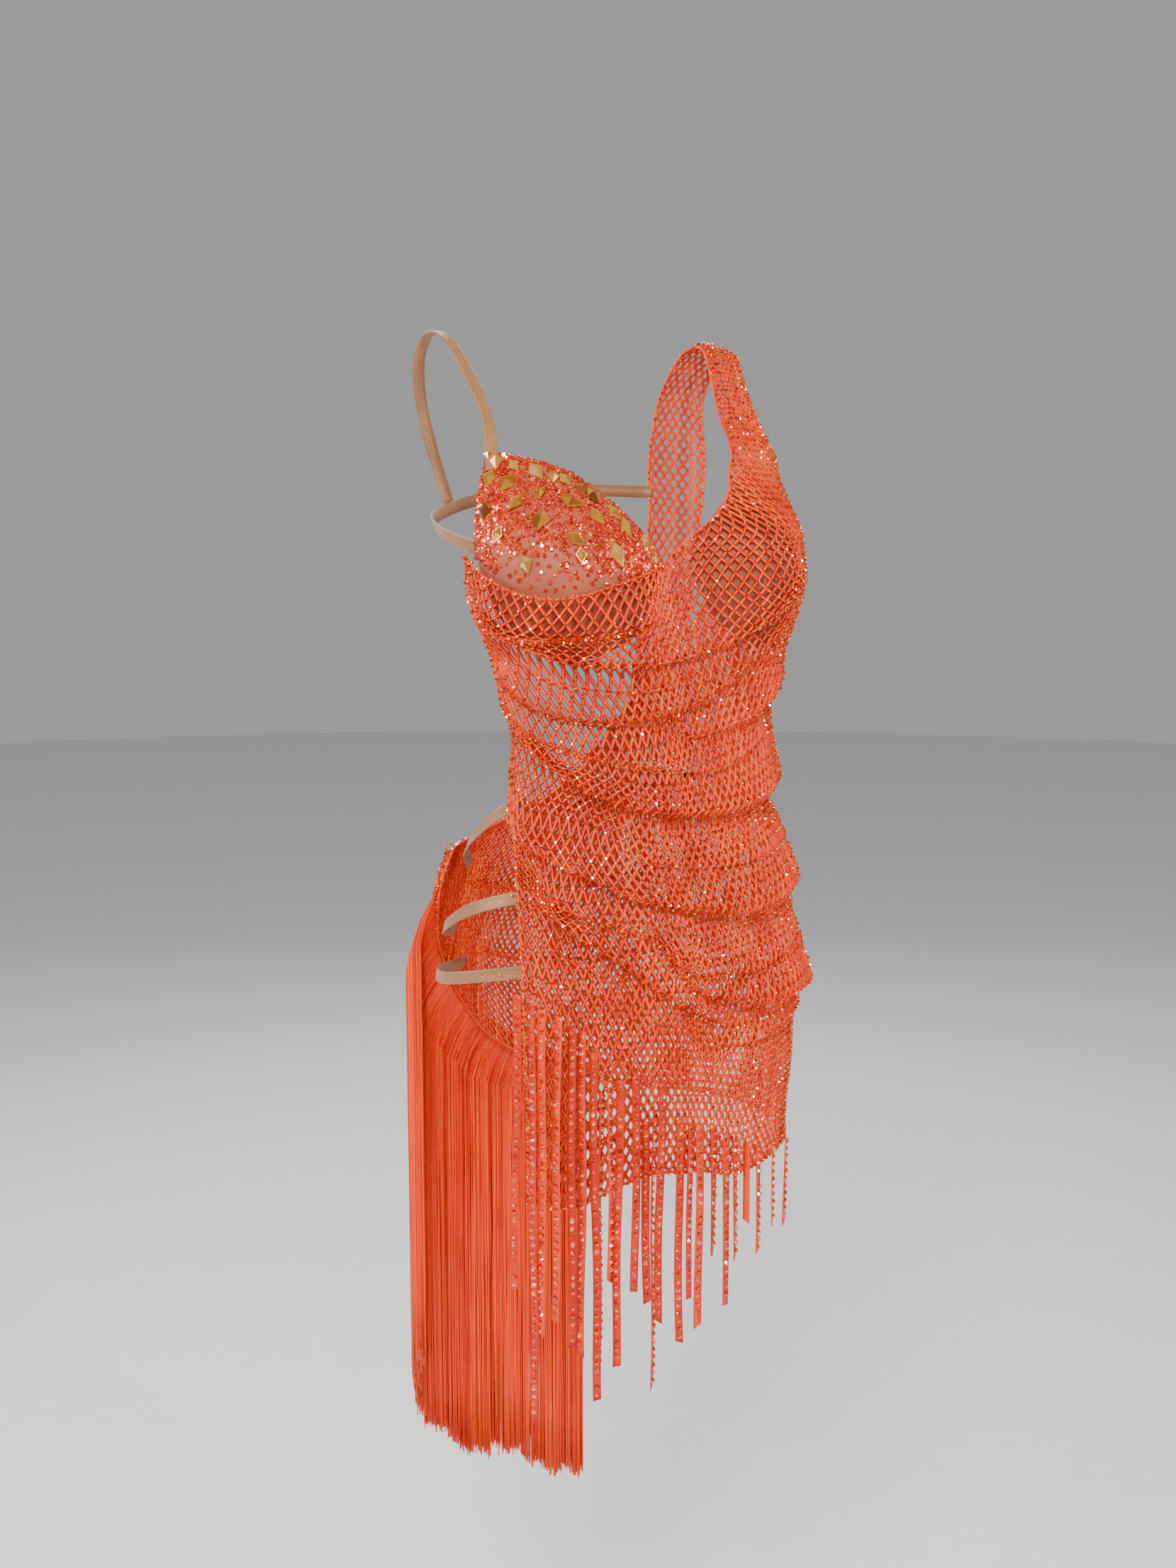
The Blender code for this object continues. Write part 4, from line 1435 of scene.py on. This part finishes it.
@dataclass
class Cups:
    """The two moulded cups: the right one stoned, the left one plain under the net."""

    figure: Figure
    lift: float = 0.0002
    wall: float = 0.0015
    stone: float = 0.0040
    pitch: float = 0.0036
    cells: tuple[int, int] = (96, 64)
    columns: tuple[CupColumn, ...] = (
        CupColumn(0.00, -63.5, -0.090, -69.0, -0.165),
        CupColumn(0.14, -57.0, -0.0925, -67.0, -0.195),
        CupColumn(0.32, -47.0, -0.097, -58.0, -0.226),
        CupColumn(0.52, -36.0, -0.107, -42.0, -0.238),
        CupColumn(0.72, -24.0, -0.127, -27.0, -0.230),
        CupColumn(0.88, -14.5, -0.146, -15.0, -0.208),
        CupColumn(1.00, -8.0, -0.164, -8.0, -0.178),
    )
    crystals: tuple[Crystal, ...] = (
        Crystal(0.08, 0.06, 15, 8), Crystal(0.07, 0.20, 14, -6), Crystal(0.19, 0.17, 17, -28),
        Crystal(0.19, 0.06, 12, 40), Crystal(0.31, 0.06, 17, 35), Crystal(0.27, 0.25, 15, -30),
        Crystal(0.36, 0.16, 12, 4), Crystal(0.41, 0.06, 12, -8), Crystal(0.47, 0.05, 13, 30),
        Crystal(0.51, 0.15, 17, 62), Crystal(0.56, 0.05, 12, -12), Crystal(0.61, 0.05, 16, 20),
        Crystal(0.10, 0.42, 15, 6), Crystal(0.40, 0.29, 18, -10), Crystal(0.63, 0.16, 15, 22),
        Crystal(0.72, 0.06, 14, 26), Crystal(0.78, 0.11, 17, 12), Crystal(0.91, 0.10, 13, 34),
        Crystal(0.22, 0.47, 14, -18), Crystal(0.55, 0.33, 16, 50), Crystal(0.57, 0.41, 12, 0),
        Crystal(0.72, 0.34, 19, 14), Crystal(0.37, 0.53, 14, 22), Crystal(0.97, 0.24, 11, 20),
        Crystal(0.02, 0.02, 12, 4),
    )

    def place(self, s: Array, t: Array, side: int, lift: Array | float) -> Array:
        """Place on a cup.

        Args:
            s: Share along its upper edge, from the strap to the centre.
            t: Share down.
            side: -1 for the right cup and 1 for the left.
            lift: Stand-off from the figure.

        Returns:
            The points.
        """
        return self.figure.point(-side * self.angle(s, t), self.height(s, t), lift)

    def angle(self, s: Array, t: Array) -> Array:
        """Angle on the right cup."""
        return self.read("angle", s, t)

    def height(self, s: Array, t: Array) -> Array:
        """Level on a cup."""
        return self.read("level", s, t)

    def read(self, name: str, s: Array, t: Array) -> Array:
        """Angle or level, between the cup's upper and lower edge."""
        top, low = (column(self.columns, f"{edge}_{name}", "s", s) for edge in ("top", "low"))
        return blend(top, low, t)

    def shell(self, name: str, side: int, node: str) -> bpy.types.Object:
        """Moulds one cup as a closed shell with a rolled edge.

        Args:
            name: The piece's name.
            side: -1 for the right cup and 1 for the left.
            node: The CAD node that it stands for.

        Returns:
            The cup.
        """
        columns, rows = self.cells
        s, t = np.meshgrid(np.linspace(0, 1, columns + 1), np.linspace(0, 1, rows + 1))
        rim = np.minimum(np.minimum(s, 1 - s) * 0.17, np.minimum(t, 1 - t) * 0.10)
        thick = self.wall * (0.35 + 0.65 * np.sqrt(np.clip(rim / 0.003, 0, 1)))
        pucker = 0.00012 * np.sin(s * 120.0) * (1 - smoothstep(0.0, 0.08, t))
        face = self.place(s, t, side, self.lift + thick + pucker)
        back = self.place(s, t, side, np.full(s.shape, self.lift))
        number = np.arange(face.shape[0] * face.shape[1]).reshape(s.shape)
        upper, lower = number[:-1], number[1:]
        corners = [upper[:, :-1], lower[:, :-1], lower[:, 1:], upper[:, 1:]]
        quads = np.stack(corners, -1).reshape(-1, 4)
        total = number.size
        ring = [number[0, :-1], number[:-1, -1], number[-1, :0:-1], number[:0:-1, 0]]
        ring = np.concatenate(ring)
        walls = np.stack([ring, np.roll(ring, -1), np.roll(ring, -1) + total, ring + total], -1)
        if side > 0:
            quads, walls = quads[:, ::-1], walls[:, ::-1]
        shape = Shape()
        points = np.concatenate([face.reshape(-1, 3), back.reshape(-1, 3)])
        shape.add(points, [quads, quads[:, ::-1] + total, walls], 0.5)
        piece = dress_up(shape.build(name), TULLE, node)
        return piece

    def stones(self, front: FrontDrape, rng: np.random.Generator) -> None:
        """Sets the right cup: packed stones above, scattered ones below, and the large crystals.

        Args:
            front: The net front, whose edge covers the cup's lower part.
            rng: Random source.
        """
        lift = self.lift + self.wall
        share, middle = np.linspace(0, 1, 60), np.full(60, 0.5)
        width = arc_table(self.place(share, 0.4 * middle, -1, lift))[-1]
        height = arc_table(self.place(middle, share, -1, lift))[-1]
        along, down = int(width / self.pitch), int(height / (self.pitch * 0.87))
        i, j = np.meshgrid(np.arange(along + 1), np.arange(down + 1))
        s = (i + 0.5 * (j % 2)) / (along + 0.5)
        t = j / down
        coarse = ((j % 2 == 0) & ((i + j // 2) % 2 == 0)).reshape(-1)
        s = np.clip(s + rng.normal(0, 0.004, s.shape), 0.01, 0.99).reshape(-1)
        t = np.clip(t + rng.normal(0, 0.004, t.shape), 0.012, 0.99).reshape(-1)
        angle, level = self.angle(s, t), self.height(s, t)
        covered = front.edge_level(angle)
        bare = smoothstep(0.36, 0.60, t) * smoothstep(0.12, 0.30, s)
        bare = bare * (1 - smoothstep(0.74, 0.92, s))
        kept = (coarse | (rng.random(len(s)) > 1.04 * bare)) & (level > covered + 0.0015)
        frames = np.array([(c.s, c.t, c.long_mm) for c in self.crystals])
        aside = (s[:, None] - frames[None, :, 0]) * width
        below = (t[:, None] - frames[None, :, 1]) * height
        gap = np.hypot(aside, below)
        kept &= (gap > frames[None, :, 2] * 0.00034).all(1)
        s, t = s[kept], t[kept]
        places = self.place(s, t, -1, np.full(s.shape, lift))
        normals = self.figure.normal(self.angle(s, t), self.height(s, t), np.full(s.shape, lift))
        shape = Shape()
        StoneSetter(self.stone, Cut.CHATON, 0.16, 0.12).set(shape, places, normals, rng)
        dress_up(shape.build("cup_right_stones", False, rng), CUP_STONE)
        self.crystal_piece(lift, rng)

    def crystal_piece(self, lift: float, rng: np.random.Generator) -> None:
        """Sews on the large crystals.

        Args:
            lift: Stand-off of the cup's face.
            rng: Random source for their tones.
        """
        s, t, long_mm, lean = np.array(self.crystals, float).T
        level = np.full(s.shape, lift + 0.0009)
        places = self.place(s, t, -1, level)
        normals = self.figure.normal(self.angle(s, t), self.height(s, t), level)
        shape = Shape()
        frames = turned_frames(normals, np.radians(lean))
        set_copies(shape, kite_form(), places, frames, long_mm / 1000, rng.random(len(s)))
        dress_up(shape.build("cup_right_crystals", False, rng), KITE_CRYSTAL)

    def build(self, front: FrontDrape, rng: np.random.Generator) -> None:
        """Builds both cups.

        Args:
            front: The net front.
            rng: Random source.
        """
        self.shell("cup_right_shell", -1, "cup_right")
        self.shell("cup_left_shell", 1, "cup_left")
        self.stones(front, rng)


# ---------------------------------------------------------------- elastics


class Lay(NamedTuple):
    """A point of a strap that lies on the figure."""

    angle: float
    level: float
    lift: float = 0.001


@dataclass
class Elastics:
    """The plush elastic straps."""

    figure: Figure
    width: float = 0.0095
    wall: float = 0.0012
    cut_width: float = 0.010
    stretch: float = 1.06
    steps: int = 10
    bead: float = 0.0026
    bead_axis: tuple[float, float, float] = (-0.012, -0.08, 0.0)
    shoulder_centre: tuple[float, float, float] = (-0.115, -0.015, -0.090)
    hips: tuple[tuple[str, tuple[Lay, ...]], ...] = (
        ("upper", (
            Lay(-69.0, -0.341), Lay(-80.0, -0.352), Lay(-92.0, -0.367),
            Lay(-106.0, -0.389), Lay(-122.0, -0.409),
        )),
        ("middle", (
            Lay(-58.0, -0.409), Lay(-72.0, -0.416), Lay(-88.0, -0.430),
            Lay(-107.0, -0.451), Lay(-125.0, -0.463),
        )),
        ("lower", (
            Lay(-55.0, -0.462), Lay(-74.0, -0.471), Lay(-95.0, -0.483),
            Lay(-115.0, -0.490), Lay(-136.0, -0.495),
        )),
    )
    underarm: tuple[Lay, ...] = (
        Lay(-66.0, -0.160, -0.0008), Lay(-72.5, -0.158, -0.0001), Lay(-81.0, -0.154),
        Lay(-92.0, -0.148), Lay(-108.0, -0.139), Lay(-128.0, -0.128),
        Lay(-152.0, -0.120), Lay(-180.0, -0.117), Lay(-208.0, -0.117),
        Lay(-230.0, -0.118), Lay(-235.5, -0.1182, -0.0008),
    )
    shoulder_start: tuple[Lay, ...] = (Lay(-61.0, -0.103, 0.0032), Lay(-62.0, -0.090, 0.0032))
    shoulder: tuple[tuple[float, float, float], ...] = (
        (-0.1165, -0.077, -0.068), (-0.1185, -0.060, -0.043), (-0.1215, -0.036, -0.017),
        (-0.1230, -0.018, -0.004), (-0.1240, 0.000, 0.001), (-0.1240, 0.018, -0.005),
        (-0.1220, 0.033, -0.022), (-0.1170, 0.040, -0.050), (-0.1080, 0.0405, -0.085),
        (-0.0960, 0.0350, -0.128),
    )

    def on_figure(self, route: Sequence[Lay]) -> tuple[Array, Array]:
        """Points and outward directions of a route on the figure."""
        angle, level, lift = (np.array([lay[k] for lay in route]) for k in range(3))
        return self.figure.point(angle, level, lift), self.figure.normal(angle, level, lift)

    def tape(
        self, name: str, points: Array, outs: Array, node: str, rests_on: Sequence[str]
    ) -> Array:
        """Builds one strap with a ridge along each edge, with painted highlights on the ridges and
        painted shade in the hollows.

        Args:
            name: The piece's name.
            points: Its route.
            outs: Outward directions there.
            node: The CAD node that it stands for.
            rests_on: What it is sewn to; not used.

        Returns:
            The middle of its outer face, as (n, 3).
        """
        knots = np.arange(len(points))
        at = np.linspace(0, len(points) - 1, self.steps * (len(points) - 1) + 1)[:, None]
        path = spline(list(knots), list(points), at)
        out = spline(list(knots), list(outs), at)
        along = unit(np.gradient(path, axis=0))
        out = unit(out - along * (out * along).sum(1, keepdims=True))
        across = np.cross(along, out)
        side = np.array([-1, 1, 1, 0.84, 0.62, 0, -0.62, -0.84, -1]) * self.width / 2
        rise = np.array([0, 0, 0.60, 1.0, 0.80, 0.84, 0.80, 1.0, 0.60]) * self.wall
        rings = path[:, None] + across[:, None] * side[:, None] + out[:, None] * rise[:, None]
        rings_count, around = rings.shape[:2]
        number = np.arange(rings_count * around).reshape(rings_count, around)
        quads = side_quads(number[:-1], number[1:], flipped=True)
        shape = Shape()
        # Tone across the strap: painted highlight on the two ridges and the middle, painted shade
        # in the hollows, on the side walls and underneath
        painted_ridge_shading = np.tile(np.array([0.2, 0.2, 0.15, 0.75, 0.35, 0.6, 0.35, 0.75, 0.15]), rings_count)
        shape.add(rings.reshape(-1, 3), [quads, number[0][None], number[-1][::-1][None]], painted_ridge_shading)
        piece = dress_up(shape.build(name), ELASTIC, node)
        return path + out * self.wall

    def build(self, rng: np.random.Generator) -> None:
        """Builds the straps and the gold beads that end the hip straps at the net.

        Args:
            rng: Random source.
        """
        starts, start_outs = self.on_figure(self.shoulder_start)
        middle = np.array(self.shoulder)
        away = unit((middle - self.shoulder_centre) * [0.0, 1.0, 1.0])
        self.tape(
            "shoulder_elastic_right", np.concatenate([starts, middle]),
            np.concatenate([start_outs, away]), "shoulder_strap_right",
            ["cup_right_shell", "underarm_elastic"],
        )
        self.tape(
            "underarm_elastic", *self.on_figure(self.underarm), "underarm_strap",
            ["cup_right_shell", "back_strap_net"],
        )
        beads = Shape()
        for name, route in self.hips:
            face = self.tape(
                f"hip_elastic_{name}", *self.on_figure(route), f"hip_strap_{name}",
                ["front_net", "back_net"],
            )
            spots = face[[7, 10]] + rng.normal(0, 0.0012, (2, 3))
            outs = outward(spots, self.bead_axis)
            frames, sizes = turned_frames(outs, np.zeros(2)), np.full(2, self.bead)
            set_copies(beads, bead_form(), spots + outs * 0.0012, frames, sizes, np.full(2, 0.5))
        dress_up(beads.build("hip_strap_beads"), GOLD_BEAD)


# ---------------------------------------------------------------- fringes


class Ribbon(NamedTuple):
    """A hanging ribbon: where it hangs, its ends and its turn in degrees from facing outward."""

    angle: float
    top: float
    bottom: float
    turn: float


@dataclass
class RibbonFringe:
    """Ribbons set with stones, sewn along a slanting line of the front."""

    front: FrontDrape
    width: float = 0.0062
    wall: float = 0.0007
    gap: float = 0.0036
    pitch: float = 0.0062
    stone: float = 0.0047
    ribbons: tuple[Ribbon, ...] = (
        Ribbon(-59.0, -0.479, -0.708, 4), Ribbon(-55.0, -0.478, -0.806, -6),
        Ribbon(-52.0, -0.489, -0.742, 12), Ribbon(-47.5, -0.494, -0.727, -8),
        Ribbon(-43.5, -0.502, -0.748, 6), Ribbon(-40.0, -0.505, -0.753, -14),
        Ribbon(-37.0, -0.521, -0.791, 5), Ribbon(-34.5, -0.551, -0.791, 72),
        Ribbon(-31.5, -0.549, -0.697, 66), Ribbon(-28.0, -0.544, -0.767, -5),
        Ribbon(-22.0, -0.542, -0.708, 10), Ribbon(-18.5, -0.579, -0.722, -12),
        Ribbon(-15.5, -0.568, -0.790, 68), Ribbon(-12.0, -0.550, -0.734, 4),
        Ribbon(-4.0, -0.581, -0.756, -8), Ribbon(1.0, -0.587, -0.724, 14),
        Ribbon(5.0, -0.589, -0.750, -4), Ribbon(12.0, -0.593, -0.693, 8),
        Ribbon(18.5, -0.601, -0.738, -10), Ribbon(23.5, -0.606, -0.704, 6),
        Ribbon(30.5, -0.614, -0.678, 70), Ribbon(37.0, -0.618, -0.707, -6),
        Ribbon(46.0, -0.618, -0.692, 9), Ribbon(56.0, -0.619, -0.700, -7),
    )

    def reach(self, angle: float, top: float) -> float:
        """How far out a plumb ribbon hangs to clear the cloth behind it."""
        turn = math.radians(angle)
        levels = np.linspace(top, -0.640, 24)
        ring = np.full(24, angle)
        lift = NET_LIFT + self.front.folds.stand_off(ring, levels) + self.front.ripple(ring, levels)
        points = self.front.figure.point(ring, levels, lift)
        aside, behind = points[:, 0] - HIP_AXIS[0], points[:, 1] - HIP_AXIS[1]
        return float((aside * math.sin(turn) - behind * math.cos(turn)).max()) + self.gap

    def build(self, rng: np.random.Generator) -> list[bpy.types.Object]:
        """Hangs the ribbons and sets their stones.

        Args:
            rng: Random source.

        Returns:
            The ribbons and their stones.
        """
        cloth, stones = Shape(), Shape()
        setter = StoneSetter(self.stone, Cut.CHATON, 0.06, 0.10)
        for ribbon in self.ribbons:
            self.hang(ribbon, cloth, stones, setter, rng)
        return [
            dress_up(cloth.build("front_ribbons"), RIBBON, "front_fringe"),
            dress_up(stones.build("front_ribbon_stones", False, rng), RIBBON_STONE),
        ]

    def hang(
        self, ribbon: Ribbon, cloth: Shape, stones: Shape, setter: StoneSetter,
        rng: np.random.Generator,
    ) -> None:
        """Hangs one ribbon, with the slight waves and twist of a soft strip.

        Args:
            ribbon: Its place and ends.
            cloth: Where the ribbon goes.
            stones: Where its stones go.
            setter: Sets the stones.
            rng: Random source.
        """
        turn = math.radians(ribbon.angle)
        out = np.array([math.sin(turn), -math.cos(turn), 0.0])
        side = np.array([math.cos(turn), math.sin(turn), 0.0])
        base = np.array(HIP_AXIS) + out * self.reach(ribbon.angle, ribbon.top)
        share = np.linspace(0, 1, 40)
        level = blend(ribbon.top, ribbon.bottom, share)
        fall = (ribbon.top - level)[:, None]
        phase = rng.random(2) * WAVE_PHASE
        drift = rng.normal(0, 0.010)
        sway = side * (np.sin(fall * 34 + phase[0]) * 0.0007 + fall * drift)
        sway = sway + out * np.sin(fall * 27 + phase[1]) * 0.0005
        path = base + sway
        path[:, 2] = level
        turned = ribbon.turn + rng.normal(0, 3)
        spin = np.radians(turned + 16 * (share - 0.4) * rng.normal(0, 1) * 0.8)[:, None]
        face = out * np.cos(spin) + side * np.sin(spin)
        across = side * np.cos(spin) - out * np.sin(spin)
        half = across * (self.width / 2)
        left, right = path - half, path + half
        rings = np.stack([left, right, right + face * self.wall, left + face * self.wall], 1)
        rings[-1, [1, 2], 2] += self.width * rng.uniform(-0.8, 0.8)
        number = np.arange(len(share) * 4).reshape(-1, 4)
        quads = side_quads(number[:-1], number[1:])
        ends = [number[0][::-1][None], number[-1][None]]
        cloth.add(rings.reshape(-1, 3), [quads, *ends], rng.random())
        arc = fall[:, 0]
        at = np.arange(0.004, arc[-1] - 0.003, self.pitch)
        spots, facing = read_at(at, arc, path, face)
        setter.set(stones, spots + facing * self.wall, facing, rng, 0.02)


class FringeColumn(NamedTuple):
    """One column of the strand fringe: where it is sewn and how far out it hangs."""

    angle: float
    top: float
    stand_off: float


@dataclass
class StrandFringe:
    """Silky strands on the back's lower edge."""

    figure: Figure
    length: float = 0.385
    strands: int = 1900
    rings: tuple[float, ...] = (0, 0.035, 0.08, 0.13, 0.2, 0.3, 0.42, 0.56, 0.7, 0.85, 1.0)
    thickness: float = 0.0011
    depth: float = 0.0062
    seat_level: float = -0.500
    gap: float = 0.0034
    drop: float = 0.050
    columns: tuple[FringeColumn, ...] = (
        FringeColumn(162.0, -0.6020, 0.022),
        FringeColumn(182.0, -0.5860, 0.027),
        FringeColumn(205.0, -0.5540, 0.034),
        FringeColumn(224.0, -0.5000, 0.036),
        FringeColumn(236.0, -0.4520, 0.026),
        FringeColumn(246.0, -0.4160, 0.013),
    )

    def point(self, back: BackNet, angle: Array, fall: Array, layer: Array) -> Array:
        """Place on the fringe.

        Args:
            back: The back that it is sewn to.
            angle: Degrees round the body.
            fall: Distance below the sewn edge.
            layer: Extra stand-off within the fringe.

        Returns:
            The points.
        """
        top = column(self.columns, "top", "angle", angle)
        sewn = self.figure.point(angle, top, back.lift(angle, top) + self.gap)
        stand_off = column(self.columns, "stand_off", "angle", angle)
        seat = np.full(np.shape(angle), self.seat_level)
        hung = self.figure.point(angle, seat, stand_off + layer)
        place = blend(sewn, hung, smoothstep(0.0, self.drop, fall)[..., None])
        place[..., 2] = top - fall
        return place

    def build(self, back: BackNet, rng: np.random.Generator) -> list[bpy.types.Object]:
        """Hangs the strands from their header.

        Args:
            back: The back that they are sewn to.
            rng: Random source.

        Returns:
            The strands and the header.
        """
        first, last = self.columns[0].angle, self.columns[-1].angle
        angles = np.linspace(first, last, 300)
        line = self.point(back, angles, np.zeros(300), np.zeros(300))
        arc = arc_table(line)
        at = np.sort(rng.random(self.strands)) * arc[-1]
        angle = np.interp(at, arc, angles)
        uneven = 0.022 * np.sin(at * 61.0 + 0.7) * np.sin(at * 23.0) + 0.010 * np.sin(at * 310.0)
        short = 0.06 * (rng.random(self.strands) < 0.14)
        cut = self.length * (1 + uneven + rng.normal(0, 0.009, self.strands) - short)
        share = np.array(self.rings)
        fall = cut[:, None] * share[None]
        lock = np.sin(at * 700)[:, None] * 0.35 + np.sin(at * 1900 + 1.0)[:, None] * 0.18
        stray = rng.normal(0, 0.6, (self.strands, 1))
        curl = np.sin(share[None] * 9 + rng.random((self.strands, 1)) * WAVE_PHASE) * 0.12
        round_body = angle[:, None] + (lock + stray + curl) * smoothstep(0.05, 1.0, share)[None]
        round_body = np.clip(round_body, first, last)
        layer = rng.random((self.strands, 1)) * self.depth - 0.0005
        paths = self.point(back, round_body, fall, np.broadcast_to(layer, fall.shape))
        normals = outward(paths, HIP_AXIS)
        strands = Shape()
        tones = np.clip(rng.normal(0.5, 0.2, self.strands), 0, 1)
        add_tubes(strands, paths, normals, self.thickness, self.thickness, tones=tones)
        header = Shape()
        out = outward(line, HIP_AXIS)
        for k in range(3):
            path = line + out * 0.0006 - [0, 0, 0.0016 * k]
            edge_cord(header, path, out, 0.0024, 5, 0.3 + 0.2 * k)
        return [
            dress_up(strands.build("back_strands"), CHAINETTE, "back_fringe"),
            dress_up(header.build("back_fringe_header"), CHAINETTE),
        ]


# ---------------------------------------------------------------- studio


@dataclass(frozen=True)
class Softbox:
    """A rectangular studio light."""

    name: str
    place: tuple[float, float, float]
    size: tuple[float, float]
    watts: float


@dataclass
class Studio:
    """A pale floor, soft lights all round and the camera."""

    target: tuple[float, float, float] = (-0.01, -0.08, -0.45)
    floor_level: float = -1.42
    camera_place: tuple[float, float, float] = (-0.727, -1.312, -0.126)
    camera_turn: float = -29.34
    camera_tip: float = -8.7
    lens: float = 42.4
    lights: tuple[Softbox, ...] = (
        Softbox("key_softbox", (-1.7, -2.2, 1.5), (0.9, 0.9), 132.0),
        Softbox("fill_softbox", (2.2, -1.9, 0.4), (1.4, 1.4), 14.0),
        Softbox("back_softbox", (1.3, 2.4, 1.0), (1.4, 1.4), 45.0),
        Softbox("side_softbox", (-2.4, 0.6, 0.2), (1.2, 1.2), 46.0),
        Softbox("spark_left", (-1.2, -2.0, 0.1), (0.10, 0.10), 16.0),
        Softbox("spark_high", (0.4, -2.1, 1.1), (0.10, 0.10), 18.0),
        Softbox("spark_right", (1.2, -1.7, -0.2), (0.08, 0.08), 12.0),
        Softbox("spark_back", (-0.6, 2.0, 0.6), (0.10, 0.10), 16.0),
    )

    def build(self) -> None:
        """Builds the floor, the lights and the camera."""
        self.floor()
        self.world()
        for light in self.lights:
            self.light(light)
        self.camera()

    def floor(self) -> None:
        """Lays the round pale floor."""
        bpy.ops.object.select_all(action="DESELECT")
        bpy.ops.mesh.primitive_circle_add(
            vertices=96, radius=9.0, fill_type="NGON", location=(0, 0, self.floor_level)
        )
        floor = bpy.context.object
        floor.name = "studio_floor"
        bpy.ops.object.transform_apply(location=True)
        floor.data.materials.append(PAPER.material())

    @staticmethod
    def world() -> None:
        """Fills the room with a soft pale light."""
        world = bpy.data.worlds.new("pale_room")
        world.use_nodes = True
        back = world.node_tree.nodes["Background"]
        back.inputs["Color"].default_value = linear("#E6E6E8")
        back.inputs["Strength"].default_value = 0.46
        bpy.context.scene.world = world

    def light(self, light: Softbox) -> None:
        """Hangs one softbox, turned to the dress.

        Args:
            light: Its size, place and power.
        """
        data = bpy.data.lights.new(light.name, "AREA")
        data.shape = "RECTANGLE"
        data.size, data.size_y = light.size
        data.energy = light.watts
        lamp = bpy.data.objects.new(light.name, data)
        lamp.location = light.place
        aim = Vector(self.target) - Vector(light.place)
        lamp.rotation_euler = aim.to_track_quat("-Z", "Y").to_euler()
        bpy.context.scene.collection.objects.link(lamp)

    def camera(self) -> None:
        """Sets up the camera."""
        data = bpy.data.cameras.new("camera")
        data.lens = self.lens
        data.sensor_width = 36.0
        camera = bpy.data.objects.new("camera", data)
        camera.location = self.camera_place
        tip, turn = math.radians(90 + self.camera_tip), math.radians(self.camera_turn)
        camera.rotation_euler = (tip, 0, turn)
        bpy.context.scene.collection.objects.link(camera)
        bpy.context.scene.camera = camera


def main() -> None:
    """Builds the dress, piece by piece, then the studio round it."""
    logging.basicConfig(level=logging.INFO, format="%(name)s %(message)s")
    figure = Figure()
    front = FrontDrape(figure)
    ribbons = RibbonFringe(front).build(np.random.default_rng(SEED + 1))
    front.build(ribbons, np.random.default_rng(SEED + 2))
    BackNet(figure).build(BackStrap(figure), StrandFringe(figure), np.random.default_rng(SEED + 3))
    Cups(figure).build(front, np.random.default_rng(SEED + 4))
    Elastics(figure).build(np.random.default_rng(SEED + 5))
    Studio().build()


if __name__ == "__main__":
    main()
